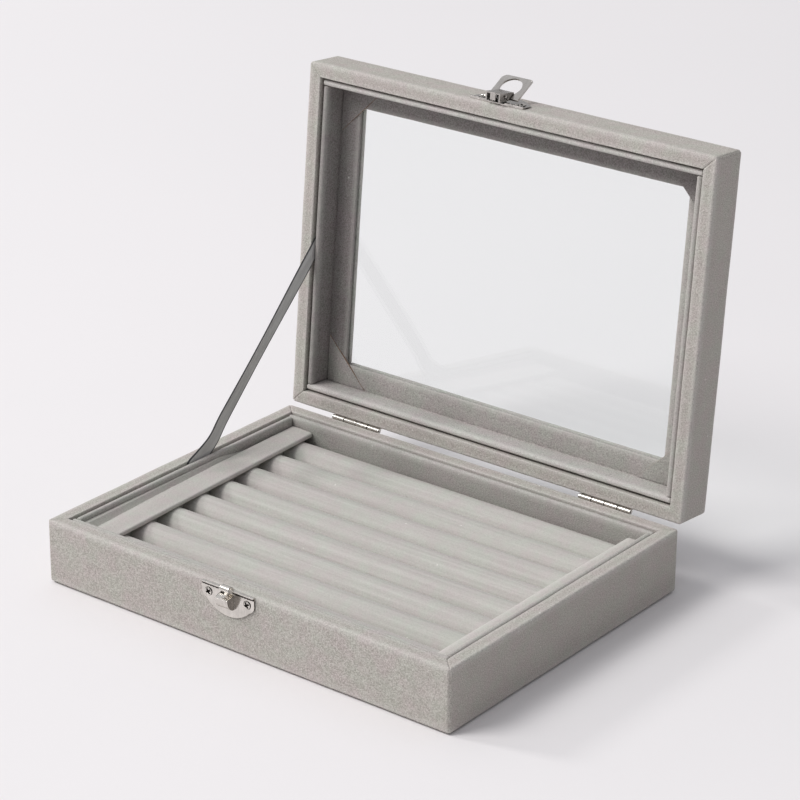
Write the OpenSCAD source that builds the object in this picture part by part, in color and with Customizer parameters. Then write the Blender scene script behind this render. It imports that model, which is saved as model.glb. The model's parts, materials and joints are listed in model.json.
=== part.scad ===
// Ring display box: a velvet-wrapped tray of padded ring rolls under a windowed lid.
// The lid is drawn shut and then swung open about the hinge pins, as it stands in use.
// Origin: centre of the underside.  +X right, +Y to the hinges, +Z up, millimetres.

/* [Case] */
// Outer width, left to right
case_w = 200; // [160:5:260]
// Outer depth, front to back
case_d = 150; // [125:5:180]
// Height of the base up to its rim
base_h = 27.5; // [26:0.5:36]
// Height of the lid from its rim to its outer face
lid_h = 18; // [17:0.5:26]
// Thickness of a wrapped wall
wall_t = 6; // [5:0.5:8]
// Radius of the soft folded edges
edge_r = 1; // [0.4:0.1:1.6]
// Radius of the upright outer corners
corner_r = 1.6; // [0.8:0.2:3]
// Gap between the two rims when the lid is shut
rim_gap = 0.3; // [0.2:0.1:1]
// Angle between the base and the propped lid
open_angle = 95; // [85:1:105]

/* [Floor] */
// Thickness of the sheet glued under the base
sheet_t = 0.5; // [0.3:0.1:1]
// Distance from the case edge to that sheet
sheet_inset = 2; // [1:0.5:4]
// Thickness of the floor board
floor_t = 3.5; // [2:0.5:5]
// Thickness of the lining card on the floor
lining_t = 0.6; // [0.4:0.1:1]
// Play of a board between the walls, each side
board_play = 0.1; // [0.05:0.05:0.3]

/* [Liner strips] */
// Thickness of a padded liner strip
liner_t = 2.5; // [2:0.1:3.5]
// Open slit between a wall and its liner strip
liner_slit = 0.8; // [0.6:0.1:1.2]
// Base liner top below the base rim
base_liner_drop = 0.5; // [0.3:0.1:2]
// Lid liner edge inside the lid rim
lid_liner_drop = 1.2; // [0.6:0.2:3]
// Play between the ends of neighbouring liner strips
liner_end_play = 0.2; // [0.1:0.1:0.5]
// Rounding of a liner strip's free edge
liner_r = 1.1; // [0.4:0.1:1.2]

/* [Rolls] */
// Slack between neighbouring rolls
roll_slack = 0.2; // [0.1:0.05:0.6]
// Rounding of a roll's ends
roll_end_r = 1; // [0.5:0.5:4]
// Depth to which a roll is pressed flat underneath
roll_press = 0.4; // [0.2:0.1:0.8]
// Play between a roll's end and the end bar
roll_end_play = 0.3; // [0.2:0.1:1]
// Width of the right end bar
bar_w = 9; // [6:0.5:14]
// Width of the left end bar
left_bar_w = 9.6; // [6:0.2:14]
// Angle of the left end bar, which was glued in a little askew
bar_skew = 1.75; // [0:0.05:2.5]
// End bar top below the base rim
bar_drop = 4.8; // [3:0.2:8]
// Rounding of an end bar's top edges
bar_r = 1.2; // [0.8:0.2:2.6]

/* [Window] */
// Width of the window border, from the case edge to the opening
border_w = 18.5; // [14:0.5:26]
// Thickness of the outer border strips
border_t = 2; // [1.8:0.1:3]
// Thickness of the glass
glass_t = 2; // [1.5:0.1:3]
// Play of the glass between the lid walls, each side
glass_play = 0.5; // [0.2:0.1:1]
// Thickness of the inner strips that hold the glass
retainer_t = 1.2; // [0.8:0.1:1.6]
// Short side of a corner gusset
gusset_leg = 20.5; // [18:0.5:24]
// Thickness of a corner gusset
gusset_t = 0.9; // [0.6:0.1:1.2]

/* [Hinges] */
// Length of a hinge barrel
hinge_w = 25; // [20:1:30]
// Distance from the case side to the outer end of the barrel
hinge_inset = 23.5; // [15:0.5:28]
// Distance of the pin behind the back face
pin_back = 0.95; // [0.9:0.05:1.1]
// Outer radius of the barrel
barrel_r = 1.1; // [1:0.02:1.16]
// Radius of the hinge pin
hinge_pin_r = 0.5; // [0.4:0.05:0.6]
// Running clearance round a pin
pin_play = 0.05; // [0.03:0.01:0.08]
// Gap between neighbouring knuckles
knuckle_gap = 0.3; // [0.2:0.05:0.5]
// Thickness of a hinge leaf
leaf_t = 0.5; // [0.4:0.05:0.6]
// Clearance between a leaf and the knuckles of the other leaf
leaf_play = 0.2; // [0.15:0.05:0.4]
// Height of a hinge leaf on the wall
leaf_h = 11; // [9:0.5:12]
// Distance from a leaf's end to its screw
leaf_screw_in = 5.5; // [4:0.5:8]
// Distance from a leaf's upper edge to its screws
leaf_screw_down = 6; // [4:0.5:6.5]

/* [Screws] */
// Radius of a screw head
head_r = 1.7; // [1.4:0.1:1.9]
// Height of the domed top of a screw head
dome_h = 0.4; // [0.2:0.05:0.6]
// Radius of a screw shank
shank_r = 0.9; // [0.6:0.05:1.1]
// Length of a screw under its dome
screw_l = 4.8; // [3.5:0.1:5.3]
// Clearance round a screw
screw_play = 0.05; // [0.03:0.01:0.1]

/* [Latch plates] */
// Distance of the latch from the middle of the case, to the left
latch_shift = 4.8; // [0:0.2:20]
// Length of a latch plate
plate_w = 26; // [25:0.5:30]
// Depth of a latch plate at its belly
plate_h = 11.8; // [11.4:0.1:12.4]
// Thickness of the latch sheet
plate_t = 0.7; // [0.6:0.05:0.8]
// Distance between the two screws of a plate
screw_pitch = 19.2; // [18:0.2:20]
// Distance from a plate's straight edge to its screws
screw_down = 4; // [3.8:0.1:4.4]
// Straight edge of the catch plate below the base rim
catch_drop = 0.3; // [0.2:0.1:2]
// Straight edge of the lever plate behind the bill's mouth
lever_plate_drop = 2.9; // [2.7:0.1:3.3]
// Height of the raised bead along a straight edge
bead_h = 0.5; // [0.3:0.05:0.7]

/* [Hook] */
// Width of the hook at its foot
hook_w = 5; // [4:0.1:5.2]
// Width of the hook at its crest
hook_crest_w = 4; // [3:0.1:5]
// Outer radius of the hook's curl
hook_r = 1.6; // [1.4:0.05:1.7]
// Play between the hook's tip and the tooth below it when the lid is shut
catch_play = 0.15; // [0.1:0.05:0.25]
// Depth to which the tooth reaches under the hook's tip
catch_bite = 1.1; // [0.7:0.1:1.2]
// Width of the pocket pressed out below the hook
pocket_w = 6.4; // [5:0.1:7]
// Reach of the pocket's flat top out of the plate
pocket_l = 4.2; // [3:0.1:4.6]
// Height of the pocket
pocket_h = 6.2; // [5:0.1:6.6]
// Slope of the pocket's top, down from level
pocket_tilt = 14; // [0:1:20]

/* [Lever] */
// Outer width of the bill
bill_w = 7; // [6.8:0.1:8]
// Height of the bill's mouth off the lid face
bill_rise = 5.2; // [4.9:0.1:5.6]
// Reach of the bill's mouth past the lid rim
mouth_overhang = 1.5; // [0:0.1:1.6]
// Length of the bill
bill_l = 9.5; // [9:0.1:10]
// Thickness of the lever sheet
lever_t = 0.6; // [0.5:0.05:0.7]
// Width of the catch tooth in the mouth
tooth_w = 2.6; // [2:0.1:3.4]
// Distance of the lever pin from the bill's mouth
pivot_up = 5.6; // [5.4:0.05:5.8]
// Height of the lever pin off the lid face
pivot_out = 2.3; // [2.2:0.05:2.5]
// Radius of the lever pin
lever_pin_r = 0.6; // [0.4:0.05:0.65]
// Width of the finger tab
tab_w = 14.4; // [12:0.2:18]
// Length of the finger tab
tab_l = 12.1; // [11.6:0.1:14]
// Angle of the finger tab off the lid face
tab_tilt = 34; // [28:1:40]
// Radius of the round hole in the finger tab
tab_hole_r = 4.9; // [3:0.1:5]
// Wire diameter of the lever spring
wire_d = 0.34; // [0.25:0.01:0.36]
// Turns of the lever spring
spring_turns = 4; // [3:1:4]

/* [Stay ribbon] */
// Width of the ribbon
ribbon_w = 8.5; // [6:0.5:10]
// Thickness of the ribbon
ribbon_t = 0.4; // [0.2:0.05:0.45]
// Place of the ribbon on the base rim, behind the middle
ribbon_base_y = 10.7; // [0:0.5:20]
// Place of the ribbon on the lid rim, measured from the hinge pin
ribbon_lid_run = 67.5; // [55:0.5:85]
// Length of the glued tail at each end
ribbon_tail = 8; // [5:0.5:8]
// Roll of the ribbon about its own length at mid span
ribbon_roll = 8; // [0:1:20]

/* [Hidden] */

velvet = "#b9b4ae";
liner_velvet = "#a9a49f";
roll_velvet = "#c6c1ba";
nickel = "#c9c8c5";
ribbon_grey = "#6c6b6d";

// Sides are counted from the front, anticlockwise from above
FRONT = 0;
RIGHT = 1;
BACK = 2;
LEFT = 3;

roll_count = 8;
fold_steps = 4;
mitre_steps = 3;
bore_fn = 48;
cut = 1;

lid_rim_z = base_h + rim_gap;
hinge_y = case_d / 2 + pin_back;
hinge_z = base_h + rim_gap / 2;
hinge_x = case_w / 2 - hinge_inset - hinge_w / 2;

floor_z = sheet_t + floor_t;
tray_z = floor_z + lining_t;
wall_h = base_h - sheet_t;
lid_wall_h = lid_h - border_t;

inner_w = case_w - 2 * wall_t;
inner_d = case_d - 2 * wall_t;
liner_in = wall_t + liner_slit;
liner_fold = min(liner_r, liner_t / 2 - board_play);
lined_w = case_w - 2 * (liner_in + liner_t);
lined_d = case_d - 2 * (liner_in + liner_t);

roll_pitch = lined_d / roll_count;
roll_d = roll_pitch - roll_slack;
bar_x = lined_w / 2 - board_play - bar_w / 2;
bar_h = base_h - bar_drop - tray_z;
bar_l = lined_d - 2 * board_play;
left_bar_l = (bar_l - left_bar_w * sin(bar_skew)) / cos(bar_skew);
left_bar_x = board_play - lined_w / 2 + (left_bar_w * cos(bar_skew) + left_bar_l * sin(bar_skew)) / 2;

// Heights in the lid, measured from its rim towards the outer face
retainer_z = lid_h - border_t - glass_t - retainer_t;
retainer_w = border_w - wall_t - board_play;
gusset_z = retainer_z - gusset_t;

knuckle_count = 4;
knuckle_l = (hinge_w - (knuckle_count - 1) * knuckle_gap) / knuckle_count;
pin_end = 0.3;
leaf_edge = sqrt(pow(barrel_r + leaf_play, 2) - pow(pin_back - leaf_t, 2));
leaf_screw_pitch = hinge_w - 2 * leaf_screw_in;
dome_steps = 5;
cross_w = 0.45;
cross_l = 2.2;
cross_d = 0.6;
tip_l = 0.8;

bead_t = 0.7;
lobe_r = 3.4;
belly_half = 11.5;
belly_drop = 6.3;
pocket_down = 1.9;
pocket_steps = 8;
hook_tip = 0.2;

cheek_gap = 0.35;
mouth_up = 0.05;
tooth_t = 0.5;
tooth_reach = bill_rise - 2 * hook_r + catch_bite;
hook_tip_rise = rim_gap - mouth_overhang + mouth_up + tooth_t + catch_play;
lever_z = lid_rim_z - mouth_overhang;
bill_back_rise = 4.4;
cheek_rise = 1.5;
cheek_heel = 0.9;
cheek_window = [2.2, 1.5];
cheek_window_at = [3.6, 3.3];
ear_gap = 0.4;
ear_t = 0.6;
ear_r = 1.05;
ear_fore = 1;
ear_aft = 0.7;
tab_start_up = 7.4;
tab_start_out = 1.5;
tab_t = 0.8;
tab_left_r = 2.6;
tab_right_r = 0.8;
tab_hole_up = 6.1;
tab_steps = 6;
spring_sides = 6;
spring_steps = 8;
spring_pitch = 0.8;
spring_r = 0.97;
spring_leg = 2.2;
fore_leg_dip = 6;
aft_leg_dip = 10;
ribbon_steps = 48;

// ---------- outlines ----------

function arc_points(c, r, a0, a1, steps) =
    [for (i = [0:steps]) let (a = a0 + (a1 - a0) * i / steps) [c[0] + r * cos(a), c[1] + r * sin(a)]];

function fold(c, r, a0) = r > 0 ? arc_points(c, r, a0, a0 + 90, fold_steps) : [c];

// Section of a wrapped board: u runs in from the outer face, v runs up.
// radii: outer foot, inner foot, inner top, outer top
function board_section(t, h, radii) = concat(
    fold([radii[0], radii[0]], radii[0], 180),
    fold([t - radii[1], radii[1]], radii[1], 270),
    fold([t - radii[2], h - radii[2]], radii[2], 0),
    fold([radii[3], h - radii[3]], radii[3], 90));

// Plan of a board with mitred ends, its outer face on the X axis
function mitre_plan(run, t, r) = concat(
    r > 0 ? arc_points([run / 2 - r, r], r, -90, -45, mitre_steps) : [[run / 2, 0]],
    [[run / 2 - t, t], [t - run / 2, t]],
    r > 0 ? arc_points([r - run / 2, r], r, 225, 270, mitre_steps) : [[-run / 2, 0]]);

function side_run(side) = side % 2 == 0 ? case_w : case_d;
function side_reach(side) = side % 2 == 0 ? case_d / 2 : case_w / 2;

// ---------- shared frames ----------

// Puts a piece drawn along X, outer face at y = 0, on one side of the case
module on_side(side) {
    rotate([0, 0, 90 * side])
        translate([0, -side_reach(side), 0])
            children();
}

// Swings the shut lid open about the hinge pins
module opened() {
    translate([0, hinge_y, hinge_z])
        rotate([-open_angle, 0, 0])
            translate([0, -hinge_y, -hinge_z])
                children();
}

// Frame on the front face: X right, Y up from z0, Z out of the case
module on_front_face(z0) {
    translate([-latch_shift, -case_d / 2, z0])
        rotate([90, 0, 0])
            children();
}

// Extrudes an outline drawn in (Y, Z) along X, centred on x = 0
module along_x(length) {
    translate([-length / 2, 0, 0])
        rotate([90, 0, 90])
            linear_extrude(length)
                children();
}

module rod(r, length) {
    rotate([0, 90, 0])
        cylinder(r = r, h = length, center = true, $fn = bore_fn);
}

// ---------- boards ----------

module mitred_board(run, t, h, radii, plan_r) {
    intersection() {
        along_x(run) polygon(board_section(t, h, radii));
        linear_extrude(h) polygon(mitre_plan(run, t, plan_r));
    }
}

module base_wall(side) {
    color(velvet)
        difference() {
            on_side(side)
                translate([0, 0, sheet_t])
                    mitred_board(side_run(side), wall_t, wall_h, [edge_r, 0, edge_r, edge_r], corner_r);
            if (side == FRONT)
                catch_screw_places() screw_hole();
            if (side == BACK)
                base_leaf_screw_places() screw_hole();
        }
}

module lid_wall(side) {
    color(velvet)
        opened()
            difference() {
                on_side(side)
                    translate([0, 0, lid_rim_z])
                        mitred_board(side_run(side), wall_t, lid_wall_h, [edge_r, edge_r, 0, 0], corner_r);
                if (side == FRONT)
                    lever_screw_places() screw_hole();
                if (side == BACK)
                    lid_leaf_screw_places() screw_hole();
            }
}

module lid_border(side) {
    inner_fold = edge_r / 2;
    color(velvet)
        opened()
            on_side(side)
                translate([0, 0, lid_rim_z + lid_wall_h])
                    mitred_board(side_run(side), border_w, border_t,
                        [0, inner_fold, inner_fold, edge_r], corner_r);
}

// ---------- floor ----------

module underside_sheet() {
    color("#8d8883")
        translate([0, 0, sheet_t / 2])
            cube([case_w - 2 * sheet_inset, case_d - 2 * sheet_inset, sheet_t], center = true);
}

module inner_board(z, t) {
    translate([0, 0, z + t / 2])
        cube([inner_w - 2 * board_play, inner_d - 2 * board_play, t], center = true);
}

module floor_panel() {
    color("#b08d62") inner_board(sheet_t, floor_t);
}

module floor_lining() {
    color(liner_velvet) inner_board(floor_z, lining_t);
}

// ---------- liner strips ----------

// Front and back strips run the full width, side strips stand between them
function liner_run(side) = side % 2 == 0
    ? case_w - 2 * liner_in
    : case_d - 2 * (liner_in + liner_t + liner_end_play);

module liner_strip(side, z0, h, radii) {
    on_side(side)
        translate([0, liner_in, z0])
            along_x(liner_run(side))
                polygon(board_section(liner_t, h, radii));
}

module base_liner(side) {
    color(liner_velvet)
        liner_strip(side, tray_z, base_h - base_liner_drop - tray_z, [0, 0, liner_fold, liner_fold]);
}

module lid_liner(side) {
    color(liner_velvet)
        opened()
            liner_strip(side, lid_rim_z + lid_liner_drop, retainer_z - lid_liner_drop,
                [liner_fold, liner_fold, 0, 0]);
}

// ---------- rolls and end bars ----------

module end_bar(x, w, length, skew) {
    color(velvet)
        translate([x, 0, tray_z])
            rotate([0, 0, 90 + skew])
                translate([0, -w / 2, 0])
                    along_x(length)
                        polygon(board_section(w, bar_h, [0, 0, bar_r, bar_r]));
}

function roll_y(index) = (index - (roll_count + 1) / 2) * roll_pitch;

// Each roll is cut to reach from the face of the left bar to that of the right one
function roll_start(index) = roll_end_play + left_bar_x + left_bar_w / 2 / cos(bar_skew)
    - (roll_y(index) - roll_d / 2) * tan(bar_skew);
roll_stop = bar_x - bar_w / 2 - roll_end_play;

// Half outline of a roll: radius outwards, length upwards
function roll_outline(r, l, e) = concat(
    [[0, -l / 2]],
    arc_points([r - e, e - l / 2], e, -90, 0, fold_steps),
    arc_points([r - e, l / 2 - e], e, 0, 90, fold_steps),
    [[0, l / 2]]);

module ring_roll(index) {
    r = roll_d / 2;
    length = roll_stop - roll_start(index);
    color(roll_velvet)
        translate([roll_stop - length / 2, roll_y(index), tray_z])
            difference() {
                translate([0, 0, r - roll_press])
                    rotate([0, 90, 0])
                        rotate_extrude($fn = 64)
                            polygon(roll_outline(r, length, min(roll_end_r, r / 2)));
                translate([0, 0, -r])
                    cube([length + 2 * cut, roll_d, 2 * r], center = true);
            }
}

// ---------- window ----------

module glass_pane() {
    color("#dfe8ea", 0.35)
        opened()
            translate([0, 0, lid_rim_z + lid_wall_h - glass_t / 2])
                cube([inner_w - 2 * glass_play, inner_d - 2 * glass_play, glass_t], center = true);
}

module glass_retainer(side) {
    run = side_run(side) - 2 * (wall_t + board_play);
    color(liner_velvet)
        opened()
            on_side(side)
                translate([0, wall_t + board_play, lid_rim_z + retainer_z])
                    mitred_board(run, retainer_w, retainer_t, [0, retainer_t / 3, 0, 0], 0);
}

// dir_x and dir_y are +1 or -1 and choose the corner
module gusset(dir_x, dir_y) {
    corner_x = lined_w / 2 - board_play;
    corner_y = lined_d / 2 - board_play;
    color(velvet)
        opened()
            translate([dir_x * corner_x, dir_y * corner_y, lid_rim_z + gusset_z])
                linear_extrude(gusset_t)
                    polygon([[0, 0], [-dir_x * gusset_leg, 0], [0, -dir_y * gusset_leg]]);
}

// ---------- screws ----------

// Half outline of a countersunk screw standing on z = 0, the face of its plate
function screw_outline(play) = concat(
    [[0, -screw_l - (play > 0 ? cut / 2 : 0)]],
    play > 0 ? [[shank_r + play, -screw_l - cut / 2]] : [[shank_r, tip_l - screw_l]],
    [[shank_r + play, -plate_t]],
    play > 0
        ? [[head_r + play, 0], [head_r + play, cut], [0, cut]]
        : [for (i = [0:dome_steps]) let (a = 90 * i / dome_steps) [head_r * cos(a), dome_h * sin(a)]]);

module screw() {
    difference() {
        rotate_extrude($fn = bore_fn) polygon(screw_outline(0));
        for (a = [0, 90])
            rotate([0, 0, a])
                translate([-cross_l / 2, -cross_w / 2, dome_h - cross_d])
                    cube([cross_l, cross_w, cross_d + cut]);
    }
}

// The hole that a screw leaves in a plate and in the board behind it
module screw_hole() {
    rotate_extrude($fn = bore_fn) polygon(screw_outline(screw_play));
}

module latch_screw_pair(y, out) {
    for (dir = [-1, 1])
        translate([dir * screw_pitch / 2, y, out])
            children();
}

module catch_screw_places() {
    on_front_face(base_h - catch_drop)
        latch_screw_pair(-screw_down, plate_t) children();
}

module lever_screw_places() {
    on_front_face(lever_z + lever_plate_drop)
        latch_screw_pair(screw_down, plate_t) children();
}

// dir: -1 below the pins on the base, +1 above them on the lid
module leaf_screw_places(dir) {
    for (hinge = [-1, 1], end = [-1, 1])
        translate([hinge * hinge_x + end * leaf_screw_pitch / 2,
                case_d / 2 + leaf_t, hinge_z + dir * (leaf_edge + leaf_screw_down)])
            rotate([-90, 0, 0])
                children();
}

module base_leaf_screw_places() {
    leaf_screw_places(-1) children();
}

module lid_leaf_screw_places() {
    leaf_screw_places(1) children();
}

module catch_screws() {
    color(nickel) catch_screw_places() screw();
}

module lever_plate_screws() {
    color(nickel) opened() lever_screw_places() screw();
}

module hinge_base_screws() {
    color(nickel) base_leaf_screw_places() screw();
}

module hinge_lid_screws() {
    color(nickel) opened() lid_leaf_screw_places() screw();
}

// ---------- hinges ----------

// A leaf on the back face and its rolled knuckles.
// dir: -1 for the base leaf, +1 for the lid leaf.  first: its first knuckle
module hinge_leaf(dir, first) {
    difference() {
        union() {
            translate([0, -pin_back + leaf_t / 2, dir * (leaf_edge + leaf_h / 2)])
                cube([hinge_w, leaf_t, leaf_h], center = true);
            for (i = [first:2:knuckle_count - 1])
                translate([(i - (knuckle_count - 1) / 2) * (knuckle_l + knuckle_gap), 0, 0])
                    knuckle(dir);
        }
        rod(hinge_pin_r + pin_play, hinge_w + 2 * cut);
    }
}

module knuckle(dir) {
    rod(barrel_r, knuckle_l);
    translate([0, leaf_t / 2 - pin_back, dir * (leaf_edge + leaf_t) / 2])
        cube([knuckle_l, leaf_t, leaf_edge + leaf_t], center = true);
}

module base_leaf(hinge) {
    color(nickel)
        difference() {
            translate([hinge * hinge_x, hinge_y, hinge_z]) hinge_leaf(-1, 0);
            base_leaf_screw_places() screw_hole();
        }
}

module lid_leaf(hinge) {
    color(nickel)
        opened()
            difference() {
                translate([hinge * hinge_x, hinge_y, hinge_z]) hinge_leaf(1, 1);
                lid_leaf_screw_places() screw_hole();
            }
}

module hinge_pin(hinge) {
    color(nickel)
        translate([hinge * hinge_x, hinge_y, hinge_z])
            rod(hinge_pin_r, hinge_w + 2 * pin_end);
}

// ---------- latch plates ----------

// Half-moon plate hanging below y = 0: a belly arc, an end lobe round each screw, square shoulders
module half_moon() {
    sag = plate_h - belly_drop;
    belly_r = (belly_half * belly_half + sag * sag) / (2 * sag);
    intersection() {
        translate([0, belly_r - plate_h]) circle(r = belly_r, $fn = 160);
        translate([-belly_half, -plate_h]) square([2 * belly_half, plate_h]);
    }
    for (dir = [-1, 1]) {
        translate([dir * (plate_w / 2 - lobe_r), -screw_down]) circle(r = lobe_r, $fn = bore_fn);
        translate([dir * (plate_w - lobe_r) / 2 - lobe_r / 2, -screw_down]) square([lobe_r, screw_down]);
    }
}

// A half-moon with a raised bead along its straight edge, left out over the middle gap
module latch_plate_blank(gap) {
    bead_l = (plate_w - gap) / 2;
    linear_extrude(plate_t) half_moon();
    for (dir = [-1, 1])
        translate([dir * (gap + bead_l) / 2 - bead_l / 2, -bead_t, 0])
            cube([bead_l, bead_t, plate_t + bead_h]);
}

// Level at which the hook's curl starts, above the plate's straight edge
hook_bend = catch_drop + hook_tip_rise + hook_tip;

// The hook rises off the plate's straight edge, curls out and turns down to its tip
module hook_outline() {
    square_from(-bead_t, 0, hook_bend + bead_t, plate_t);
    intersection() {
        difference() {
            translate([hook_bend, hook_r]) circle(r = hook_r, $fn = bore_fn);
            translate([hook_bend, hook_r]) circle(r = hook_r - plate_t, $fn = bore_fn);
        }
        translate([hook_bend, 0]) square([2 * hook_r, 2 * hook_r]);
    }
    square_from(hook_bend - hook_tip, 2 * hook_r - plate_t, hook_tip, plate_t);
}

// The hook, narrowing from its foot to its crest
module hook() {
    crest = hook_bend + hook_r;
    intersection() {
        along_x(hook_w) hook_outline();
        linear_extrude(2 * hook_r)
            polygon([[-hook_w / 2, -bead_t], [hook_w / 2, -bead_t], [hook_w / 2, 0],
                [hook_crest_w / 2, crest], [-hook_crest_w / 2, crest], [-hook_w / 2, 0]]);
    }
}

// Side view of the pocket: a flat top sloping out, then a front that curves down into the plate.
// skin: how far inside the outer surface
function pocket_outline(skin) =
    let (edge = [-pocket_down - sin(pocket_tilt) * pocket_l, plate_t + cos(pocket_tilt) * pocket_l],
        drop = pocket_h + pocket_down + edge[0], root = skin > 0 ? -cut : 0)
    concat([[-pocket_down - skin, root], [-pocket_down - skin, plate_t - skin]],
        [for (i = [0:pocket_steps]) let (a = 90 * i / pocket_steps)
            [edge[0] - skin - (drop - 2 * skin) * sin(a), plate_t - skin + (edge[1] - plate_t) * cos(a)]],
        [[skin - pocket_down - pocket_h, root]]);

module square_from(x, y, w, h) {
    translate([x, y]) square([w, h]);
}

module catch_plate() {
    color(nickel)
        difference() {
            on_front_face(base_h - catch_drop) {
                difference() {
                    union() {
                        latch_plate_blank(hook_w);
                        along_x(pocket_w) polygon(pocket_outline(0));
                    }
                    along_x(pocket_w - 2 * plate_t) polygon(pocket_outline(plate_t));
                }
                hook();
            }
            catch_screw_places() screw_hole();
        }
}

module lever_plate() {
    ear_x = bill_w / 2 - lever_t - ear_gap - ear_t / 2;
    color(nickel)
        opened()
            difference() {
                on_front_face(lever_z) {
                    translate([0, lever_plate_drop, 0])
                        mirror([0, 1, 0]) latch_plate_blank(bill_w + 2 * cheek_gap);
                    for (dir = [-1, 1])
                        translate([dir * ear_x, pivot_up, 0]) lever_ear();
                }
                lever_screw_places() screw_hole();
            }
}

// An upright ear of the lever plate with the pin's bore
module lever_ear() {
    difference() {
        along_x(ear_t) {
            translate([-ear_fore, 0]) square([ear_fore + ear_aft, pivot_out]);
            translate([0, pivot_out]) circle(r = ear_r, $fn = bore_fn);
        }
        translate([0, 0, pivot_out]) rod(lever_pin_r + pin_play, ear_t + 2 * cut);
    }
}

// ---------- lever ----------

// Cheek of the bill, drawn in (up, out)
function cheek_outline() = [
    [mouth_up, cheek_rise], [tab_start_up - cheek_heel, cheek_rise],
    [tab_start_up, tab_start_out],
    [bill_l, tab_start_out + (bill_l - tab_start_up) * tan(tab_tilt)],
    [bill_l, bill_back_rise], [mouth_up, bill_rise]];

// Roof of the bill, sloping down from the mouth to the back
function roof_outline() = [
    [mouth_up, bill_rise - lever_t], [mouth_up, bill_rise],
    [bill_l, bill_back_rise], [bill_l, bill_back_rise - lever_t]];

module bill() {
    for (dir = [-1, 1])
        translate([dir * (bill_w - lever_t) / 2, 0, 0])
            along_x(lever_t)
                difference() {
                    polygon(cheek_outline());
                    translate(cheek_window_at) square(cheek_window, center = true);
                }
    along_x(bill_w) polygon(roof_outline());
    translate([0, 0, bill_rise])
        along_x(tooth_w) square_from(mouth_up, -tooth_reach, tooth_t, tooth_reach);
}

// dir: 1 for the free corner on the right, -1 for the one on the left
function tab_corner(dir, r, a0) =
    arc_points([dir * (tab_w / 2 - r), tab_l - r], r, a0, a0 + 90, tab_steps);

// Finger tab: a plate with a large round hole, leaning off the lid face
module finger_tab() {
    translate([0, tab_start_up, tab_start_out])
        rotate([tab_tilt, 0, 0])
            linear_extrude(tab_t)
                difference() {
                    polygon(concat([[-tab_w / 2, 0], [tab_w / 2, 0]],
                        tab_corner(1, tab_right_r, 0), tab_corner(-1, tab_left_r, 90)));
                    translate([0, tab_hole_up]) circle(r = tab_hole_r, $fn = 64);
                }
}

module latch_lever() {
    color(nickel)
        opened()
            on_front_face(lever_z)
                difference() {
                    union() {
                        bill();
                        finger_tab();
                    }
                    translate([0, pivot_up, pivot_out])
                        rod(lever_pin_r + pin_play, bill_w + 2 * cut);
                }
}

module lever_pin() {
    color(nickel)
        opened()
            on_front_face(lever_z)
                translate([0, pivot_up, pivot_out])
                    rod(lever_pin_r, bill_w + 2 * pin_end);
}

// ---------- swept forms ----------

// Skin of a sweep: rings of points joined by triangles, with a fan at each end
function sweep_faces(rings, sides) = concat(
    [for (i = [0:rings - 2], j = [0:sides - 1]) let (k = (j + 1) % sides)
        [i * sides + j, (i + 1) * sides + j, (i + 1) * sides + k]],
    [for (i = [0:rings - 2], j = [0:sides - 1]) let (k = (j + 1) % sides)
        [i * sides + j, (i + 1) * sides + k, i * sides + k]],
    [for (j = [1:sides - 2]) [0, j, j + 1]],
    [for (j = [1:sides - 2]) let (e = (rings - 1) * sides) [e, e + j + 1, e + j]]);

function unit(v) = v / norm(v);

// Centre line of the torsion spring: a leg, the turns round the pin, the other leg
function spring_coil() = [for (i = [0:spring_turns * spring_steps]) let (a = -90 + 360 * i / spring_steps)
    [(i / spring_steps - spring_turns / 2) * spring_pitch,
        pivot_up - spring_r * cos(a), pivot_out + spring_r * sin(a)]];

function spring_path() = let (coil = spring_coil(), last = len(coil) - 1) concat(
    [coil[0] + spring_leg * [0, cos(aft_leg_dip), -sin(aft_leg_dip)]],
    coil,
    [coil[last] - spring_leg * [0, cos(fore_leg_dip), sin(fore_leg_dip)]]);

function path_tangent(p, i) = unit(p[min(i + 1, len(p) - 1)] - p[max(i - 1, 0)]);

function spring_ring(p, i) =
    let (t = path_tangent(p, i), side = unit([1, 0, 0] - t[0] * t), up = cross(t, side))
    [for (j = [0:spring_sides - 1]) let (a = 360 * j / spring_sides)
        p[i] + wire_d / 2 * (cos(a) * side + sin(a) * up)];

function least_gap(p, skip, wire) = min([for (i = [0:len(p) - 1 - skip], j = [i + skip:len(p) - 1])
    norm(p[i] - p[j]) - wire]);

module lever_spring() {
    path = spring_path();
    echo("least gap between turns of the lever spring", least_gap(spring_coil(), spring_steps / 2, wire_d));
    color("#9a9894")
        opened()
            on_front_face(lever_z)
                polyhedron([for (i = [0:len(path) - 1]) each spring_ring(path, i)],
                    sweep_faces(len(path), spring_sides));
}

// The ribbon runs in the slit between the left walls and their liner strips.
// Its centre line is straight; at mid span it is rolled about its own length.
ribbon_x = -(case_w / 2 - wall_t - liner_slit / 2);
ribbon_foot = [ribbon_base_y, base_h];
ribbon_head = [hinge_y + ribbon_lid_run * cos(180 - open_angle) + rim_gap / 2 * sin(open_angle),
    hinge_z + ribbon_lid_run * sin(open_angle)];
ribbon_way = (ribbon_head - ribbon_foot) / norm(ribbon_head - ribbon_foot);

function ribbon_point(along) = ribbon_foot + along * ribbon_way;

function ribbon_ring(along, turn) =
    let (c = ribbon_point(along), flat = [-ribbon_way[1], ribbon_way[0]],
        w = [sin(turn), cos(turn) * flat[0], cos(turn) * flat[1]] * ribbon_w / 2,
        t = [cos(turn), -sin(turn) * flat[0], -sin(turn) * flat[1]] * ribbon_t / 2,
        o = [ribbon_x, c[0], c[1]])
    [o - w - t, o + w - t, o + w + t, o - w + t];

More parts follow.
